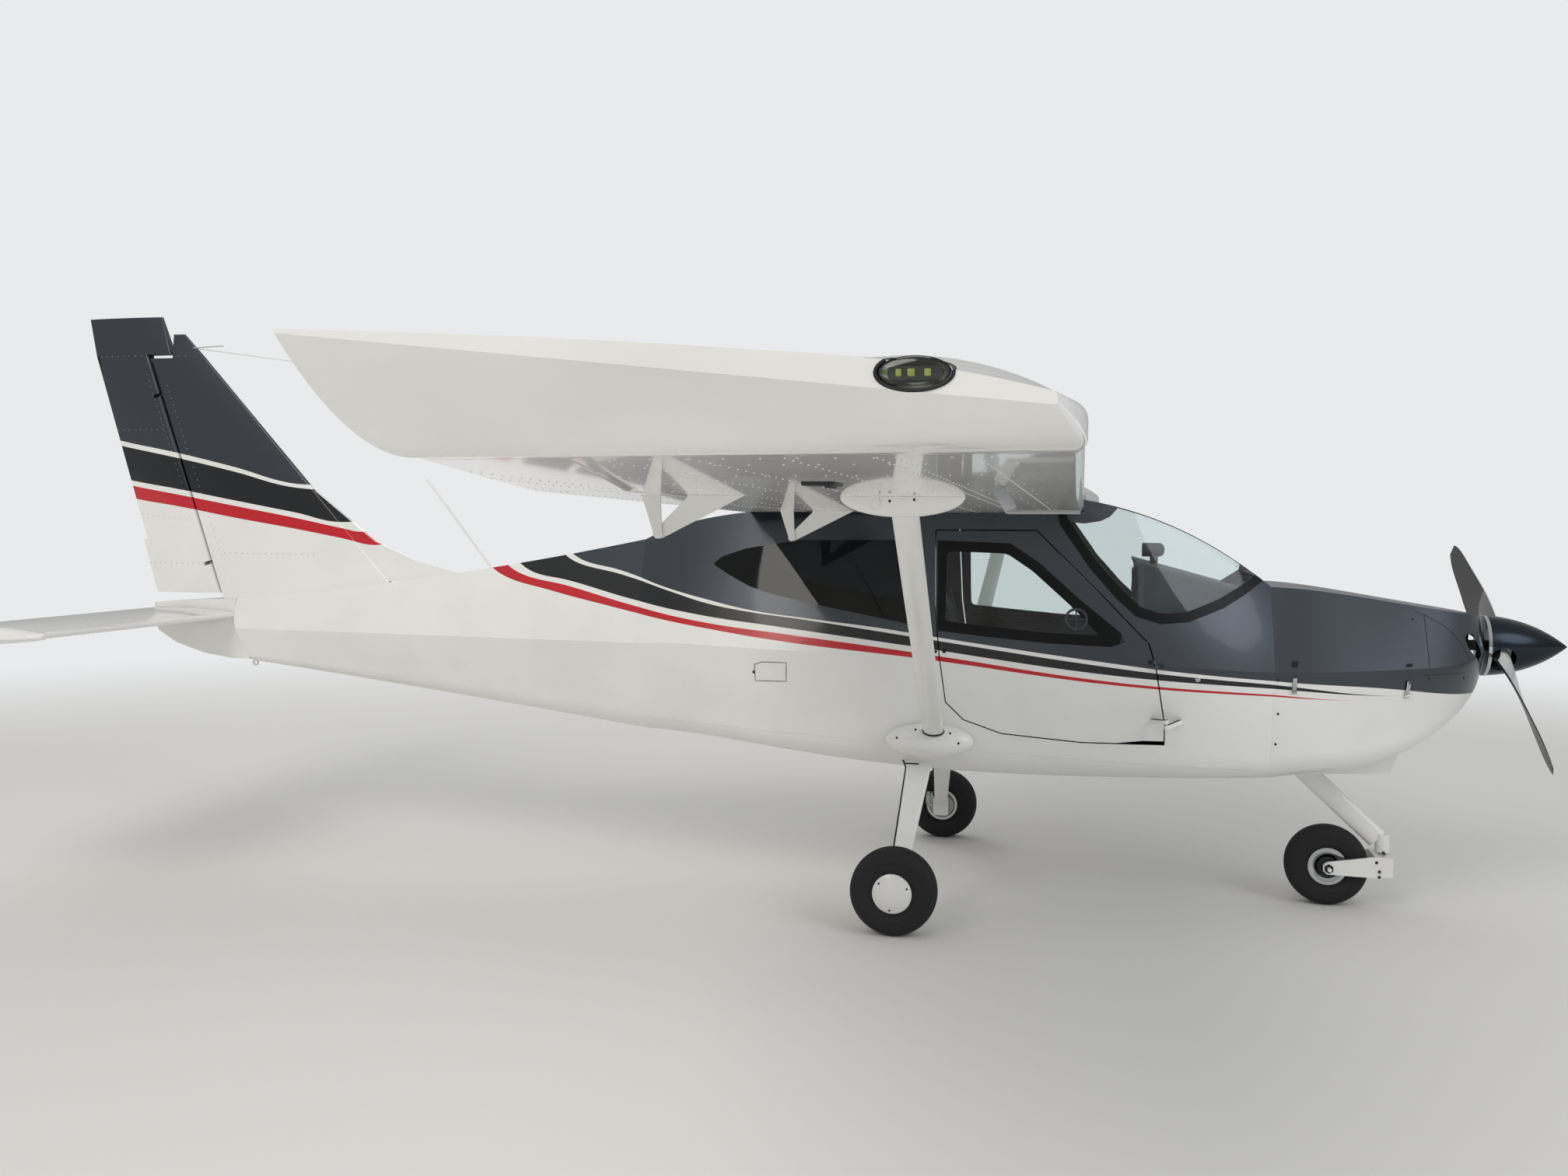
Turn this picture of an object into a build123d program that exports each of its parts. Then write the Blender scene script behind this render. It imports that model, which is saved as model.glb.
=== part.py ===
# Two-seat high-wing light sport aircraft with strut-braced metal wings, a moulded fuselage,
# an all-moving stabilator and a fixed nose-wheel landing gear.
# Millimetres. +X points to the nose, +Y to port, +Z up. The ground is z = 0 and x = 0 is
# halfway between the spinner tip and the corner of the rudder.
import os
from math import atan, cos, pi, radians, sin, tan

from build123d import *

os.makedirs("parts", exist_ok=True)

# Overall
nose_x = 3485.0  # spinner tip
tail_x = -3485.0  # top rear corner of the rudder
seat_gap = 0.3  # between pieces that seat on each other
move_gap = 10.0  # round a control surface
door_gap = 5.0  # round a door
side = {"left": 1, "right": -1}  # port and starboard

# Fuselage
skin = 20.0  # cabin wall and door
glass = 5.0
cowl_skin = 12.0
firewall_x = 2290.0
firewall_thick = 10.0
cabin_rear_x = -380.0
tail_end_x = -2620.0
floor_top_z = 640.0
floor_rear_x = 320.0

# Columns: x, low z, waist z, high z, half widths low, waist, high, corner radii low, waist, high
cabin_table = [
    (cabin_rear_x, 682, 1090, 1543, 330, 470, 290, 130, 300, 150),
    (140, 646, 1090, 1668, 420, 565, 390, 130, 300, 90),
    (800, 585, 1080, 1725, 470, 600, 460, 130, 300, 50),
    (1500, 572, 1080, 1725, 480, 600, 460, 130, 300, 50),
    (1900, 576, 1060, 1612, 450, 575, 390, 130, 300, 90),
    (firewall_x, 585, 1040, 1368, 400, 520, 320, 130, 300, 120),
]
tail_table = [
    (cabin_rear_x, 682, 1090, 1543, 330, 470, 290, 130, 300, 150),
    (-1440, 800, 1085, 1362, 190, 290, 180, 90, 180, 110),
    (tail_end_x, 925, 1080, 1228, 70, 112, 60, 40, 70, 40),
]
cowl_end_x = 3130.0
cowl_table = [
    (firewall_x + seat_gap, 585, 1040, 1367, 400, 520, 320, 130, 300, 120),
    (2650, 634, 1050, 1328, 330, 465, 290, 130, 250, 110),
    (2900, 735, 1060, 1287, 240, 375, 245, 110, 200, 100),
    (3060, 868, 1080, 1262, 160, 270, 180, 90, 120, 80),
    (cowl_end_x, 972, 1110, 1250, 80, 165, 80, 60, 80, 60),
]

# Wing
wing_le_x = 1545.0
tip_le_x = 1592.0  # nose of the wing at the start of the tip cap
root_chord = 1415.0
roof_half = 478.0  # the wing panels start at the sides of the cabin roof
panel_y = 2740.0  # end of the straight panel
cap_y = 4120.0  # start of the tip cap
half_span = 4400.0
tip_te_x = 590.0
roof_z = 1665.0
dihedral = 1.17
thick_ratio = 0.135
# Upper surface: share of the chord behind the nose, share of the thickness
nose_height = 0.45
shoulder_point = (0.10, 0.83)
crest_x = 0.32
rear_point = (0.66, 0.70)
te_thick = 6.0
nose_round = 0.36  # nose radius of a control surface as a share of its height
flap_chord = 300.0
flap_in_y = 625.0
flap_hinge_drop = 110.0
flap_hinge_x = 385.0
bracket_ys = (700.0, 2450.0)
bracket_thick = 6.0
hinge_gap = 5.0  # between the plates of one hinge
aileron_hinge_back = 40.0  # hinge line behind the front of the aileron
aileron_hinge_up = 44.0
aileron_hinge_ys = (2850.0, 3400.0, 3950.0)
lug_thick = 8.0
lug_r = 9.0
slot_r = 16.0
slot_half_height = 30.0
pin_r = 4.0
pin_reach = 14.0

# Lift strut
strut_foot = (955.0, 560.0, 745.0)
strut_top = (1065.0, 2300.0)
strut_chord = 82.0
strut_thick = 36.0

# Tail
fin_low_z = 1250.0
fin_high_z = 2440.0
hinge_low_x = -2760.0
hinge_high_x = -3146.0
rudder_te_low_x = -3121.0
fin_le_low_x = -1740.0
fin_le_high_x = -2816.0
fin_thick_low = 92.0
fin_thick_high = 56.0
cap_top_z = 2650.0
tail_nose = 0.16  # nose radius as a share of the thickness
horn_x = -3000.0
stab_le_x = -2620.0
stab_te_x = -3320.0
stab_z = 1145.0
stab_root_y = 88.0
stab_tip_y = 1360.0
stab_half_span = 1450.0
stab_thick = 66.0
stab_pivot_x = -2809.0
tab_chord = 95.0
tab_half = 930.0
torque_r = 22.0
rudder_hinge_zs = (1400.0, 2250.0)
tab_top_z = 1522.0  # the tab at the foot of the rudder

# Propeller
hub_z = 1122.0
prop_x = 3216.0
prop_r = 865.0
prop_angle = 26.0  # above the horizontal, to port
prop_pitch = 1300.0
spinner_r = 125.0
spinner_base_x = 3158.0
shaft_r = 22.0
hub_r = 60.0
run_gap = 0.05

# Landing gear
main_x = 838.0
half_track = 870.0
main_r = 173.0
main_half_width = 63.0
nose_wheel_x = 2572.0
nose_r = 170.0
nose_half_width = 58.0
rim_r = 78.0
axle_r = 16.0
steer_x = 2795.0
tow_pin_r = 8.0
tow_pin_end = 116.0

# Door hinges: one straight line outside the skin on each side
door_hinge_y = 606.0
door_hinge_x = 1880.0
door_hinge_z = 815.0
door_hinge_rise = (-49.0, 269.0)  # run of the hinge line in x and z
door_hinge_shares = (0.06, 0.94)  # places of the two hinges along that run

# Tie-down eyes
eye_thick = 8.0
wing_eye = (1000.0, 2400.0, 24.0)  # x, y and drop below the wing
wing_eye_r = 10.0
tail_eye = (-2560.0, 899.0)
tail_eye_r = 9.0
eye_wall = 7.0

wing_slope = tan(radians(dihedral))


def body_loft(table, inset):
    with BuildPart() as body:
        for x, low, waist, high, h_low, h_waist, h_high, r_low, r_waist, r_high in table:
            with BuildSketch(Plane.YZ.offset(x)) as section:
                with BuildLine():
                    Polyline(
                        (-h_low + inset, low + inset),
                        (h_low - inset, low + inset),
                        (h_waist - inset, waist),
                        (h_high - inset, high - inset),
                        (-h_high + inset, high - inset),
                        (-h_waist + inset, waist),
                        close=True,
                    )
                make_face()
                corners = section.vertices().group_by(Axis.Y)
                fillet(corners[0], r_low - inset)
                fillet(corners[1], r_waist - inset)
                fillet(corners[2], r_high - inset)
        loft()
    return body.part


def side_prism(points, y_from, y_to, grow=0.0, corner=0.0):
    """A side outline, points of x and z, carried through from y_from to y_to."""
    with BuildPart() as prism:
        with BuildSketch(Plane.XZ.offset(-y_from)) as outline:
            with BuildLine():
                Polyline(*points, close=True)
            make_face()
            if corner:
                fillet(outline.vertices(), corner)
            if grow:
                offset(amount=grow, kind=Kind.INTERSECTION)
        extrude(amount=y_from - y_to)
    return prism.part


def save(name, solid):
    solid.label = name
    export_step(solid, f"parts/{name}.step")


def wing_low(y):
    return roof_z + (abs(y) - roof_half) * wing_slope


def wing_le(y):
    return wing_le_x + (abs(y) - roof_half) / (cap_y - roof_half) * (tip_le_x - wing_le_x)


def wing_te(y):
    if abs(y) <= panel_y:
        return wing_le_x - root_chord
    share = (abs(y) - panel_y) / (half_span - panel_y)
    return wing_le_x - root_chord + share * (tip_te_x - wing_le_x + root_chord)


def above_wing(y_limit, clear):
    """Space above the underside of the wings, to cut what seats on it."""
    with BuildPart() as space:
        for way in side.values():
            with BuildSketch(Plane.YZ.offset(-500)):
                with BuildLine():
                    Polyline(
                        (0, roof_z - clear),
                        (way * roof_half, roof_z - clear),
                        (way * y_limit, wing_low(y_limit) - clear),
                        (way * y_limit, roof_z + 800),
                        (0, roof_z + 800),
                        close=True,
                    )
                make_face()
            extrude(amount=2500)
    return space.part


def cross_plate(points, y_mid, thick):
    """A plate in the side view, thick along y, centred on y_mid."""
    return side_prism(points, y_mid - thick / 2, y_mid + thick / 2)


def pin(point, direction, radius, reach):
    """A round pin centred on the point, reaching the same way to both sides."""
    with BuildPart() as body:
        with BuildSketch(Plane(origin=point, z_dir=direction)):
            Circle(radius)
        extrude(amount=reach, both=True)
    return body.part


def wing_section(y, le_x, te_x, low, rise=0.0, depth=None, front_x=None):
    """Wing section at y. The rear edge stands rise above the nose. With front_x it is the
    rear part alone, from front_x back, with its own rounded nose."""
    chord = le_x - te_x
    thick = depth or thick_ratio * chord
    nose = (le_x, low + nose_height * thick)
    shoulder, crest, rear = (
        (le_x - back * chord, low + up * thick + back * rise)
        for back, up in (shoulder_point, (crest_x, 1.0), rear_point)
    )
    edge = (te_x, low + rise + te_thick)
    with BuildSketch(Plane.XZ.offset(-y)) as section:
        with BuildLine():
            Line((te_x, low + rise), (le_x, low))
            Line((le_x, low), nose)
            ThreePointArc(nose, shoulder, crest)
            ThreePointArc(crest, rear, edge)
            Line(edge, (te_x, low + rise))
        make_face()
        if front_x is None:
            front = section.vertices().sort_by(Axis.X)[-2:].sort_by(Axis.Y)
            fillet(front[0], 0.3 * nose_height * thick)
            upper = section.vertices().sort_by(Axis.X)[-2:].sort_by(Axis.Y)[-1]
            fillet(upper, 0.5 * nose_height * thick)
        else:
            with Locations((front_x - 500, low)):
                Rectangle(1000, 400, mode=Mode.INTERSECT)
            front = section.vertices().sort_by(Axis.X)[-2:]
            fillet(front, nose_round * abs(front[0].Y - front[1].Y))
    return section.sketch


# Cabin shell
windshield_outline = [
    (1440, 1800), (1440, 1664), (1453, 1615), (1572, 1443), (1678, 1322), (1755, 1252),
    (1850, 1222), (1960, 1230), (2100, 1286), (2186, 1339), (2262, 1395), (2262, 1800),
]
door_outline = [
    (952, 1590), (1360, 1590), (1655, 1298), (1806, 1142), (1834, 1045), (1872, 815), (1872, 736),
    (1550, 736), (1230, 762), (1075, 815), (1003, 887), (962, 1250),
]
door_window_outline = [
    (968, 1182), (1160, 1163), (1412, 1141), (1660, 1131), (1716, 1150), (1700, 1185),
    (1539, 1314), (1371, 1464), (1256, 1540), (958, 1550),
]
rear_window_outline = [
    (-27, 1440), (52, 1395), (154, 1346), (239, 1321), (457, 1276), (623, 1246), (866, 1202),
    (866, 1552), (356, 1546), (120, 1508), (17, 1474),
]
cabin_outer = body_loft(cabin_table, 0)
cabin_inner = body_loft(cabin_table, skin)
glass_inner = body_loft(cabin_table, glass)
lining_inner = body_loft(cabin_table, skin + 8)

roof_rear_x = wing_le_x - root_chord
with BuildPart() as roof_cut:
    with Locations(((roof_rear_x - 1 + wing_le_x + 2) / 2, 0, roof_z + 200 - seat_gap)):
        Box(root_chord + 3, 1400, 400)

wall = cabin_outer - cabin_inner - roof_cut.part
pane = cabin_outer - glass_inner - roof_cut.part

# The belly is a tray below a seam that runs from the tail cone to the firewall
below_seam = side_prism(
    [(cabin_rear_x - 10, 400), (cabin_rear_x - 10, 752), (firewall_x + 10, 625),
     (firewall_x + 10, 400)],
    -700, 700,
)
with BuildPart() as belly_skin:
    add(wall)
    add(below_seam, mode=Mode.INTERSECT)
save("belly_skin", belly_skin.part)

with BuildPart() as cabin_shell:
    add(wall)
    add(below_seam.moved(Location((0, 0, seat_gap))), mode=Mode.SUBTRACT)
    add(side_prism(windshield_outline, -700, 700), mode=Mode.SUBTRACT)
    add(side_prism(rear_window_outline, -700, 700, corner=8), mode=Mode.SUBTRACT)
    add(side_prism(door_outline, -700, 700, grow=door_gap), mode=Mode.SUBTRACT)

with BuildPart() as windshield:
    add(pane)
    add(side_prism(windshield_outline, -700, 700, grow=-seat_gap), mode=Mode.INTERSECT)
save("windshield", windshield.part)

with BuildPart() as rear_windows:
    add(pane)
    add(side_prism(rear_window_outline, -700, 700, grow=-seat_gap, corner=8), mode=Mode.INTERSECT)
save("rear_windows", rear_windows.part)

hinge_run = Vector(door_hinge_rise[0], 0, door_hinge_rise[1])
arm_thick = 16.0
arm_r = 10.0
arm_run = 85.0  # run of an arm along x over its whole length
arm_shift_up = (arm_thick + hinge_gap) / 2
skin_middle = body_loft(cabin_table, skin / 2)


def door_eye(way, share, shift=0.0):
    """Point on the door's hinge line, moved by shift along it."""
    start = Vector(door_hinge_x, way * door_hinge_y, door_hinge_z)
    return start + hinge_run * share + hinge_run.normalized() * shift


def door_arm(way, share, shift, ahead):
    """An arm from the hinge line in to the skin, which it meets ahead of the line."""
    plane = Plane(
        origin=door_eye(way, share, shift - arm_thick / 2), x_dir=(0, way, 0), z_dir=hinge_run
    )
    with BuildPart() as arm:
        with BuildSketch(plane):
            Circle(arm_r)
            with BuildLine():
                Polyline(
                    (arm_r / 2, arm_r), (arm_r / 2, -arm_r),
                    (-140, -way * ahead - arm_r), (-140, -way * ahead + arm_r), close=True,
                )
            make_face()
        extrude(amount=arm_thick)
        add(skin_middle, mode=Mode.SUBTRACT)
    return arm.part


with cabin_shell:
    for way in side.values():
        for share in door_hinge_shares:
            add(door_arm(way, share, -arm_shift_up, arm_run))
            add(pin(door_eye(way, share), hinge_run, pin_r, arm_thick + hinge_gap / 2))
save("cabin_shell", cabin_shell.part)

# The hinge line leans, so the lower front corner of an opening door dips and is cut higher
door_dip_outline = [(1690, 700), (1690, 736), (1790, 748), (1885, 748), (1885, 700)]

for name, way in side.items():
    with BuildPart() as door:
        add(wall)
        add(side_prism(door_outline, 200 * way, 700 * way), mode=Mode.INTERSECT)
        add(side_prism(door_dip_outline, 200 * way, 700 * way), mode=Mode.SUBTRACT)
        add(side_prism(door_window_outline, 200 * way, 700 * way), mode=Mode.SUBTRACT)
        for share in door_hinge_shares:
            add(door_arm(way, share, arm_shift_up, -arm_run))
            bore = pin(door_eye(way, share), hinge_run, pin_r + run_gap, 2 * arm_thick)
            add(bore, mode=Mode.SUBTRACT)
    save(f"door_{name}", door.part)
    with BuildPart() as door_glass:
        add(pane)
        hole = side_prism(door_window_outline, 200 * way, 700 * way, grow=-seat_gap)
        add(hole, mode=Mode.INTERSECT)
    save(f"door_glass_{name}", door_glass.part)

with BuildPart() as cabin_floor:
    add(body_loft(cabin_table, skin + seat_gap))
    floor_length = firewall_x - firewall_thick - 2 * seat_gap - floor_rear_x
    with Locations((floor_rear_x + floor_length / 2, 0, floor_top_z - 140)):
        Box(floor_length, 1400, 280, mode=Mode.INTERSECT)
save("cabin_floor", cabin_floor.part)

with BuildPart() as baggage_bulkhead:
    add(body_loft(cabin_table, skin + seat_gap))
    with Locations((cabin_rear_x + 40, 0, 1100)):
        Box(8, 1400, 1400, mode=Mode.INTERSECT)
save("baggage_bulkhead", baggage_bulkhead.part)

panel_x = 1765.0
panel_top = 1468.0
beside_door = side_prism(door_outline, -700, 700, grow=2 * door_gap) - lining_inner
with BuildPart() as instrument_panel:
    add(body_loft(cabin_table, skin + seat_gap))
    shade = [
        (panel_x - 10, panel_top - 14), (panel_x - 10, panel_top), (2250, 1335), (2250, 1315),
        (panel_x + 22, panel_top - 22), (panel_x + 22, 1060), (panel_x, 1060),
        (panel_x, panel_top - 18),
    ]
    add(side_prism(shade, -700, 700), mode=Mode.INTERSECT)
    add(beside_door, mode=Mode.SUBTRACT)
save("instrument_panel", instrument_panel.part)

seat_y = 232.0
seat_half = 200.0
seat_outline = [
    (1440, floor_top_z + seat_gap), (1440, 800), (1020, 760), (860, 1350), (770, 1330),
    (900, floor_top_z + seat_gap),
]
for name, way in side.items():
    with BuildPart() as seat:
        low_y = way * (seat_y - seat_half)
        add(side_prism(seat_outline, low_y, low_y + 2 * seat_half * way))
    save(f"seat_{name}", seat.part)

# Roof panel and wings
with BuildPart() as roof_panel:
    extrude(
        wing_section(roof_half - seat_gap, wing_le_x, wing_te(0), roof_z),
        amount=2 * (roof_half - seat_gap),
    )
save("roof_panel", roof_panel.part)

flap_front_x = wing_te(0) + flap_chord
aileron_out_y = cap_y - 30


def aileron_hinge(way, y):
    x = wing_te(y) + flap_chord - move_gap - aileron_hinge_back
    return Vector(x, way * y, wing_low(y) + aileron_hinge_up)


def aileron_axis(way):
    return aileron_hinge(way, aileron_hinge_ys[-1]) - aileron_hinge(way, aileron_hinge_ys[0])


def aileron_lug(way, y):
    with BuildPart() as lug:
        eye = aileron_hinge(way, y)
        wall_x = wing_te(y) + flap_chord + lug_thick
        with BuildSketch(Plane.XZ.offset(-way * y - lug_thick / 2)):
            with Locations((eye.X, eye.Z)):
                Circle(lug_r)
            with Locations(((eye.X + wall_x) / 2, eye.Z)):
                Rectangle(wall_x - eye.X, 2 * lug_r)
        extrude(amount=lug_thick)
    return lug.part


def flap_pivot(way, y):
    return Vector(flap_hinge_x, way * y, wing_low(y) - flap_hinge_drop)


flap_axis_y = {1: Vector(0, 1, wing_slope), -1: Vector(0, 1, -wing_slope)}
arm_shift = bracket_thick + hinge_gap
for name, way in side.items():
    with BuildPart() as wing:
        sections = [
            wing_section(way * y, wing_le(y), wing_te(y), wing_low(y))
            for y in (roof_half, panel_y, cap_y)
        ]
        loft(sections, ruled=True)
        with BuildSketch(Plane.XY):
            with BuildLine():
                Polyline(
                    (-200, way * flap_in_y),
                    (flap_front_x, way * flap_in_y),
                    (flap_front_x, way * panel_y),
                    (wing_te(aileron_out_y) + flap_chord, way * aileron_out_y),
                    (-200, way * aileron_out_y),
                    close=True,
                )
            make_face()
        extrude(amount=2500, mode=Mode.SUBTRACT)
        for y in aileron_hinge_ys:
            add(aileron_lug(way, y))
            add(pin(aileron_hinge(way, y), aileron_axis(way), pin_r, pin_reach))
    save(f"wing_{name}", wing.part)

    for piece, y_in, y_out in (
        ("flap", flap_in_y + move_gap, panel_y - move_gap / 2),
        ("aileron", panel_y + move_gap / 2, aileron_out_y - move_gap),
    ):
        with BuildPart() as surface:
            sections = [
                wing_section(
                    way * y, wing_le(y), wing_te(y), wing_low(y),
                    front_x=wing_te(y) + flap_chord - move_gap,
                )
                for y in (y_in, y_out)
            ]
            loft(sections, ruled=True)
            if piece == "aileron":
                for y in aileron_hinge_ys:
                    eye = aileron_hinge(way, y)
                    with Locations((eye.X - slot_r + 50, eye.Y, eye.Z)):
                        Box(100, lug_thick + 2 * hinge_gap, 2 * slot_half_height,
                            mode=Mode.SUBTRACT)
                    bore = pin(eye, aileron_axis(way), pin_r + run_gap, pin_reach + 2)
                    add(bore, mode=Mode.SUBTRACT)
            else:
                for y in bracket_ys:
                    low = wing_low(y)
                    arm = [
                        (flap_hinge_x - 50, low + 8), (flap_hinge_x + 8, low + 8),
                        (flap_hinge_x + 12, low - flap_hinge_drop),
                        (flap_hinge_x - 12, low - flap_hinge_drop),
                    ]
                    add(cross_plate(arm, way * (y + arm_shift), bracket_thick))
                    eye = flap_pivot(way, y + arm_shift)
                    add(pin(eye, flap_axis_y[way], 14, bracket_thick / 2))
                    add(pin(eye, flap_axis_y[way], pin_r + run_gap, 20), mode=Mode.SUBTRACT)
        save(f"{piece}_{name}", surface.part)

with BuildPart() as flap_brackets:
    for way in side.values():
        for y in bracket_ys:
            low = wing_low(y)
            plate = [
                (470, low + 30), (640, low + 30), (640, low), (flap_hinge_x + 10, low - 122),
                (flap_hinge_x - 10, low - 118), (flap_hinge_x - 10, low - 98), (470, low - 6),
            ]
            add(cross_plate(plate, way * y, bracket_thick))
            add(pin(flap_pivot(way, y), flap_axis_y[way], 14, bracket_thick / 2))
            middle = flap_pivot(way, y + arm_shift / 2)
            add(pin(middle, flap_axis_y[way], pin_r, arm_shift / 2 + bracket_thick))
    add(above_wing(half_span, seat_gap), mode=Mode.SUBTRACT)
save("flap_brackets", flap_brackets.part)

# Wing tips: the rear corner of each sweeps up, and a light is let into the outer face
tip_mid_y = 4280.0
tip_edge_y = half_span - 6  # the light stands out by this much
tip_corner_x = 425.0
tip_corner_z = 1912.0
tip_nose_x = 1560.0
tip_nose_z = 1790.0
light_x = 1373.0
light_z = 1836.0
light_half = 50.0
light_r = 22.0
light_depth = 55.0
light_edge = 6.0


def light_body(way, grow, edge=0.0):
    """A lens let into the outer face of a tip, its outer edge rounded by edge."""
    with BuildPart() as body:
        with BuildSketch(Plane.XZ.offset(-way * half_span)):
            with Locations((light_x, light_z)):
                Ellipse(light_half + grow, light_r + grow)
        extrude(amount=way * (light_depth + grow))
        if edge:
            fillet(body.faces().sort_by(Axis.Y)[-1 if way > 0 else 0].edges(), edge)
    return body.part


with BuildPart() as wing_tips:
    for way in side.values():
        sections = [
            wing_section(way * (cap_y + seat_gap), wing_le(cap_y), wing_te(cap_y), wing_low(cap_y)),
            wing_section(
                way * tip_mid_y, wing_le(cap_y), wing_te(tip_mid_y) - 85, wing_low(tip_mid_y) + 8,
                34, 106,
            ),
            wing_section(
                way * tip_edge_y, tip_nose_x, tip_corner_x, tip_nose_z,
                tip_corner_z - tip_nose_z, 38,
            ),
        ]
        loft(sections)
    for way in side.values():
        add(light_body(way, seat_gap), mode=Mode.SUBTRACT)
save("wing_tips", wing_tips.part)

with BuildPart() as wing_lights:
    for way in side.values():
        add(light_body(way, 0, light_edge))
save("wing_lights", wing_lights.part)

# Lift struts with their fairings, and the tie-down eyes
def strut_body(way, grow):
    foot = Vector(strut_foot[0], way * strut_foot[1], strut_foot[2])
    top = Vector(strut_top[0], way * strut_top[1], wing_low(strut_top[1]))
    run = top - foot
    with BuildPart() as body:
        with BuildSketch(Plane(origin=foot, x_dir=(1, 0, 0), z_dir=run)):
            Ellipse(strut_chord / 2 + grow, strut_thick / 2 + grow)
        extrude(amount=run.length + 30)
    return body.part


def pod(centre, halves):
    """A smooth fairing with the given half sizes."""
    with BuildPart() as body:
        with BuildSketch(Plane.XZ):
            Ellipse(halves[0], halves[2])
            with Locations((0, -halves[2])):
                Rectangle(2 * halves[0], 2 * halves[2], mode=Mode.SUBTRACT)
        revolve(axis=Axis.X)
        scale(by=(1, halves[1] / halves[2], 1))
    return body.part.moved(Location(centre))


with BuildPart() as struts:
    for way in side.values():
        add(strut_body(way, 0))
    add(above_wing(half_span, seat_gap), mode=Mode.SUBTRACT)
    add(cabin_outer, mode=Mode.SUBTRACT)
save("struts", struts.part)

with BuildPart() as strut_fairings:
    for way in side.values():
        add(pod((935, way * 545, 722), (182, 62, 72)))
        add(pod((1060, way * 2285, wing_low(2285)), (180, 42, 58)))
    add(above_wing(half_span, seat_gap), mode=Mode.SUBTRACT)
    add(cabin_outer, mode=Mode.SUBTRACT)
    for way in side.values():
        add(strut_body(way, seat_gap), mode=Mode.SUBTRACT)
save("strut_fairings", strut_fairings.part)


def eye_plate(x, y, z, bore, neck_up):
    """An eye with its bore along y and a neck that runs up."""
    with BuildPart() as eye:
        with BuildSketch(Plane.XZ.offset(-y - eye_thick / 2)):
            with Locations((x, z)):
                Circle(bore + eye_wall)
            with Locations((x, z + neck_up / 2)):
                Rectangle(1.2 * (bore + eye_wall), neck_up)
            with Locations((x, z)):
                Circle(bore, mode=Mode.SUBTRACT)
        extrude(amount=eye_thick)
    return eye.part


# Tail cone and fairing round the stabilator
tail_low_x = -2530.0  # lower end of the slanted rear edge
tail_low_z = 900.0
tail_bend_z = 1140.0
tail_edge = [(tail_end_x, 1300), (tail_end_x, tail_bend_z), (tail_low_x, tail_low_z)]


def tail_edge_x(z):
    return tail_low_x + (z - tail_low_z) / (tail_bend_z - tail_low_z) * (tail_end_x - tail_low_x)


with BuildPart() as tail_cone:
    add(body_loft(tail_table, 0))
    with BuildPart(mode=Mode.PRIVATE) as hollow:
        add(body_loft(tail_table, cowl_skin))
        front = [(0, 0), (0, 1800), (tail_end_x + 30, 1800), (tail_end_x + 30, 1140), (-2490, 0)]
        add(side_prism(front, -700, 700), mode=Mode.INTERSECT)
    add(hollow.part, mode=Mode.SUBTRACT)
    behind = tail_edge + [(tail_low_x, 600), (-2900, 600), (-2900, 1300)]
    add(side_prism(behind, -700, 700), mode=Mode.SUBTRACT)
save("tail_cone", tail_cone.part)

fairing_half = stab_root_y - move_gap
fairing_outline = [
    (tail_end_x - 2 * seat_gap, 1226), (-2780, 1222), (-3100, 1200), (-3104, 1138), (-3060, 1060),
    (-2960, 1000), (-2800, 950), (-2640, 926),
    (tail_edge_x(926) - 2 * seat_gap, 926), (tail_end_x - 2 * seat_gap, tail_bend_z),
]
with BuildPart() as tail_fairing:
    add(side_prism(fairing_outline, -fairing_half, fairing_half))
    with BuildSketch(Plane.XY.offset(800)) as plan:
        with Locations((-2500, 0)):
            Rectangle(2 * 604, 2 * fairing_half)
        fillet(plan.vertices().sort_by(Axis.X)[:2], 45)
    extrude(amount=600, mode=Mode.INTERSECT)
    with BuildSketch(Plane.XZ):
        with Locations((stab_pivot_x, stab_z)):
            Circle(torque_r + run_gap)
    extrude(amount=200, both=True, mode=Mode.SUBTRACT)
save("tail_fairing", tail_fairing.part)

with BuildPart() as tie_downs:
    for way in side.values():
        eye_z = wing_low(wing_eye[1]) - wing_eye[2]
        add(eye_plate(wing_eye[0], way * wing_eye[1], eye_z, wing_eye_r, 50))
    add(above_wing(half_span, seat_gap), mode=Mode.SUBTRACT)
    add(eye_plate(tail_eye[0], 0, tail_eye[1], tail_eye_r, 60))
    add(tail_cone.part, mode=Mode.SUBTRACT)
    add(tail_fairing.part, mode=Mode.SUBTRACT)
save("tie_downs", tie_downs.part)


def hinge_x(z):
    share = (z - fin_low_z) / (fin_high_z - fin_low_z)
    return hinge_low_x + share * (hinge_high_x - hinge_low_x)


def tail_section(z, le_x, te_x, thick, front_x=None, rear_x=None, nose=0.0):
    """Symmetric section in x and y. The part kept runs from front_x back to rear_x."""
    crest = le_x + 0.36 * (te_x - le_x)
    tip = tail_nose * thick
    with BuildSketch(Plane.XY.offset(z)) as section:
        with BuildLine():
            ThreePointArc((le_x - tip, -tip), (le_x, 0), (le_x - tip, tip))
            ThreePointArc((le_x - tip, tip), (crest, thick / 2), (te_x, 2))
            Line((te_x, 2), (te_x, -2))
            ThreePointArc((te_x, -2), (crest, -thick / 2), (le_x - tip, -tip))
        make_face()
        if front_x is not None:
            with Locations((front_x - 1000, 0)):
                Rectangle(2000, 400, mode=Mode.INTERSECT)
            fillet(section.vertices().sort_by(Axis.X)[-2:], nose)
        if rear_x is not None:
            with Locations((rear_x + 1500, 0)):
                Rectangle(3000, 400, mode=Mode.INTERSECT)
    return section.sketch


fin_te_high_x = -3448.0


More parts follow.
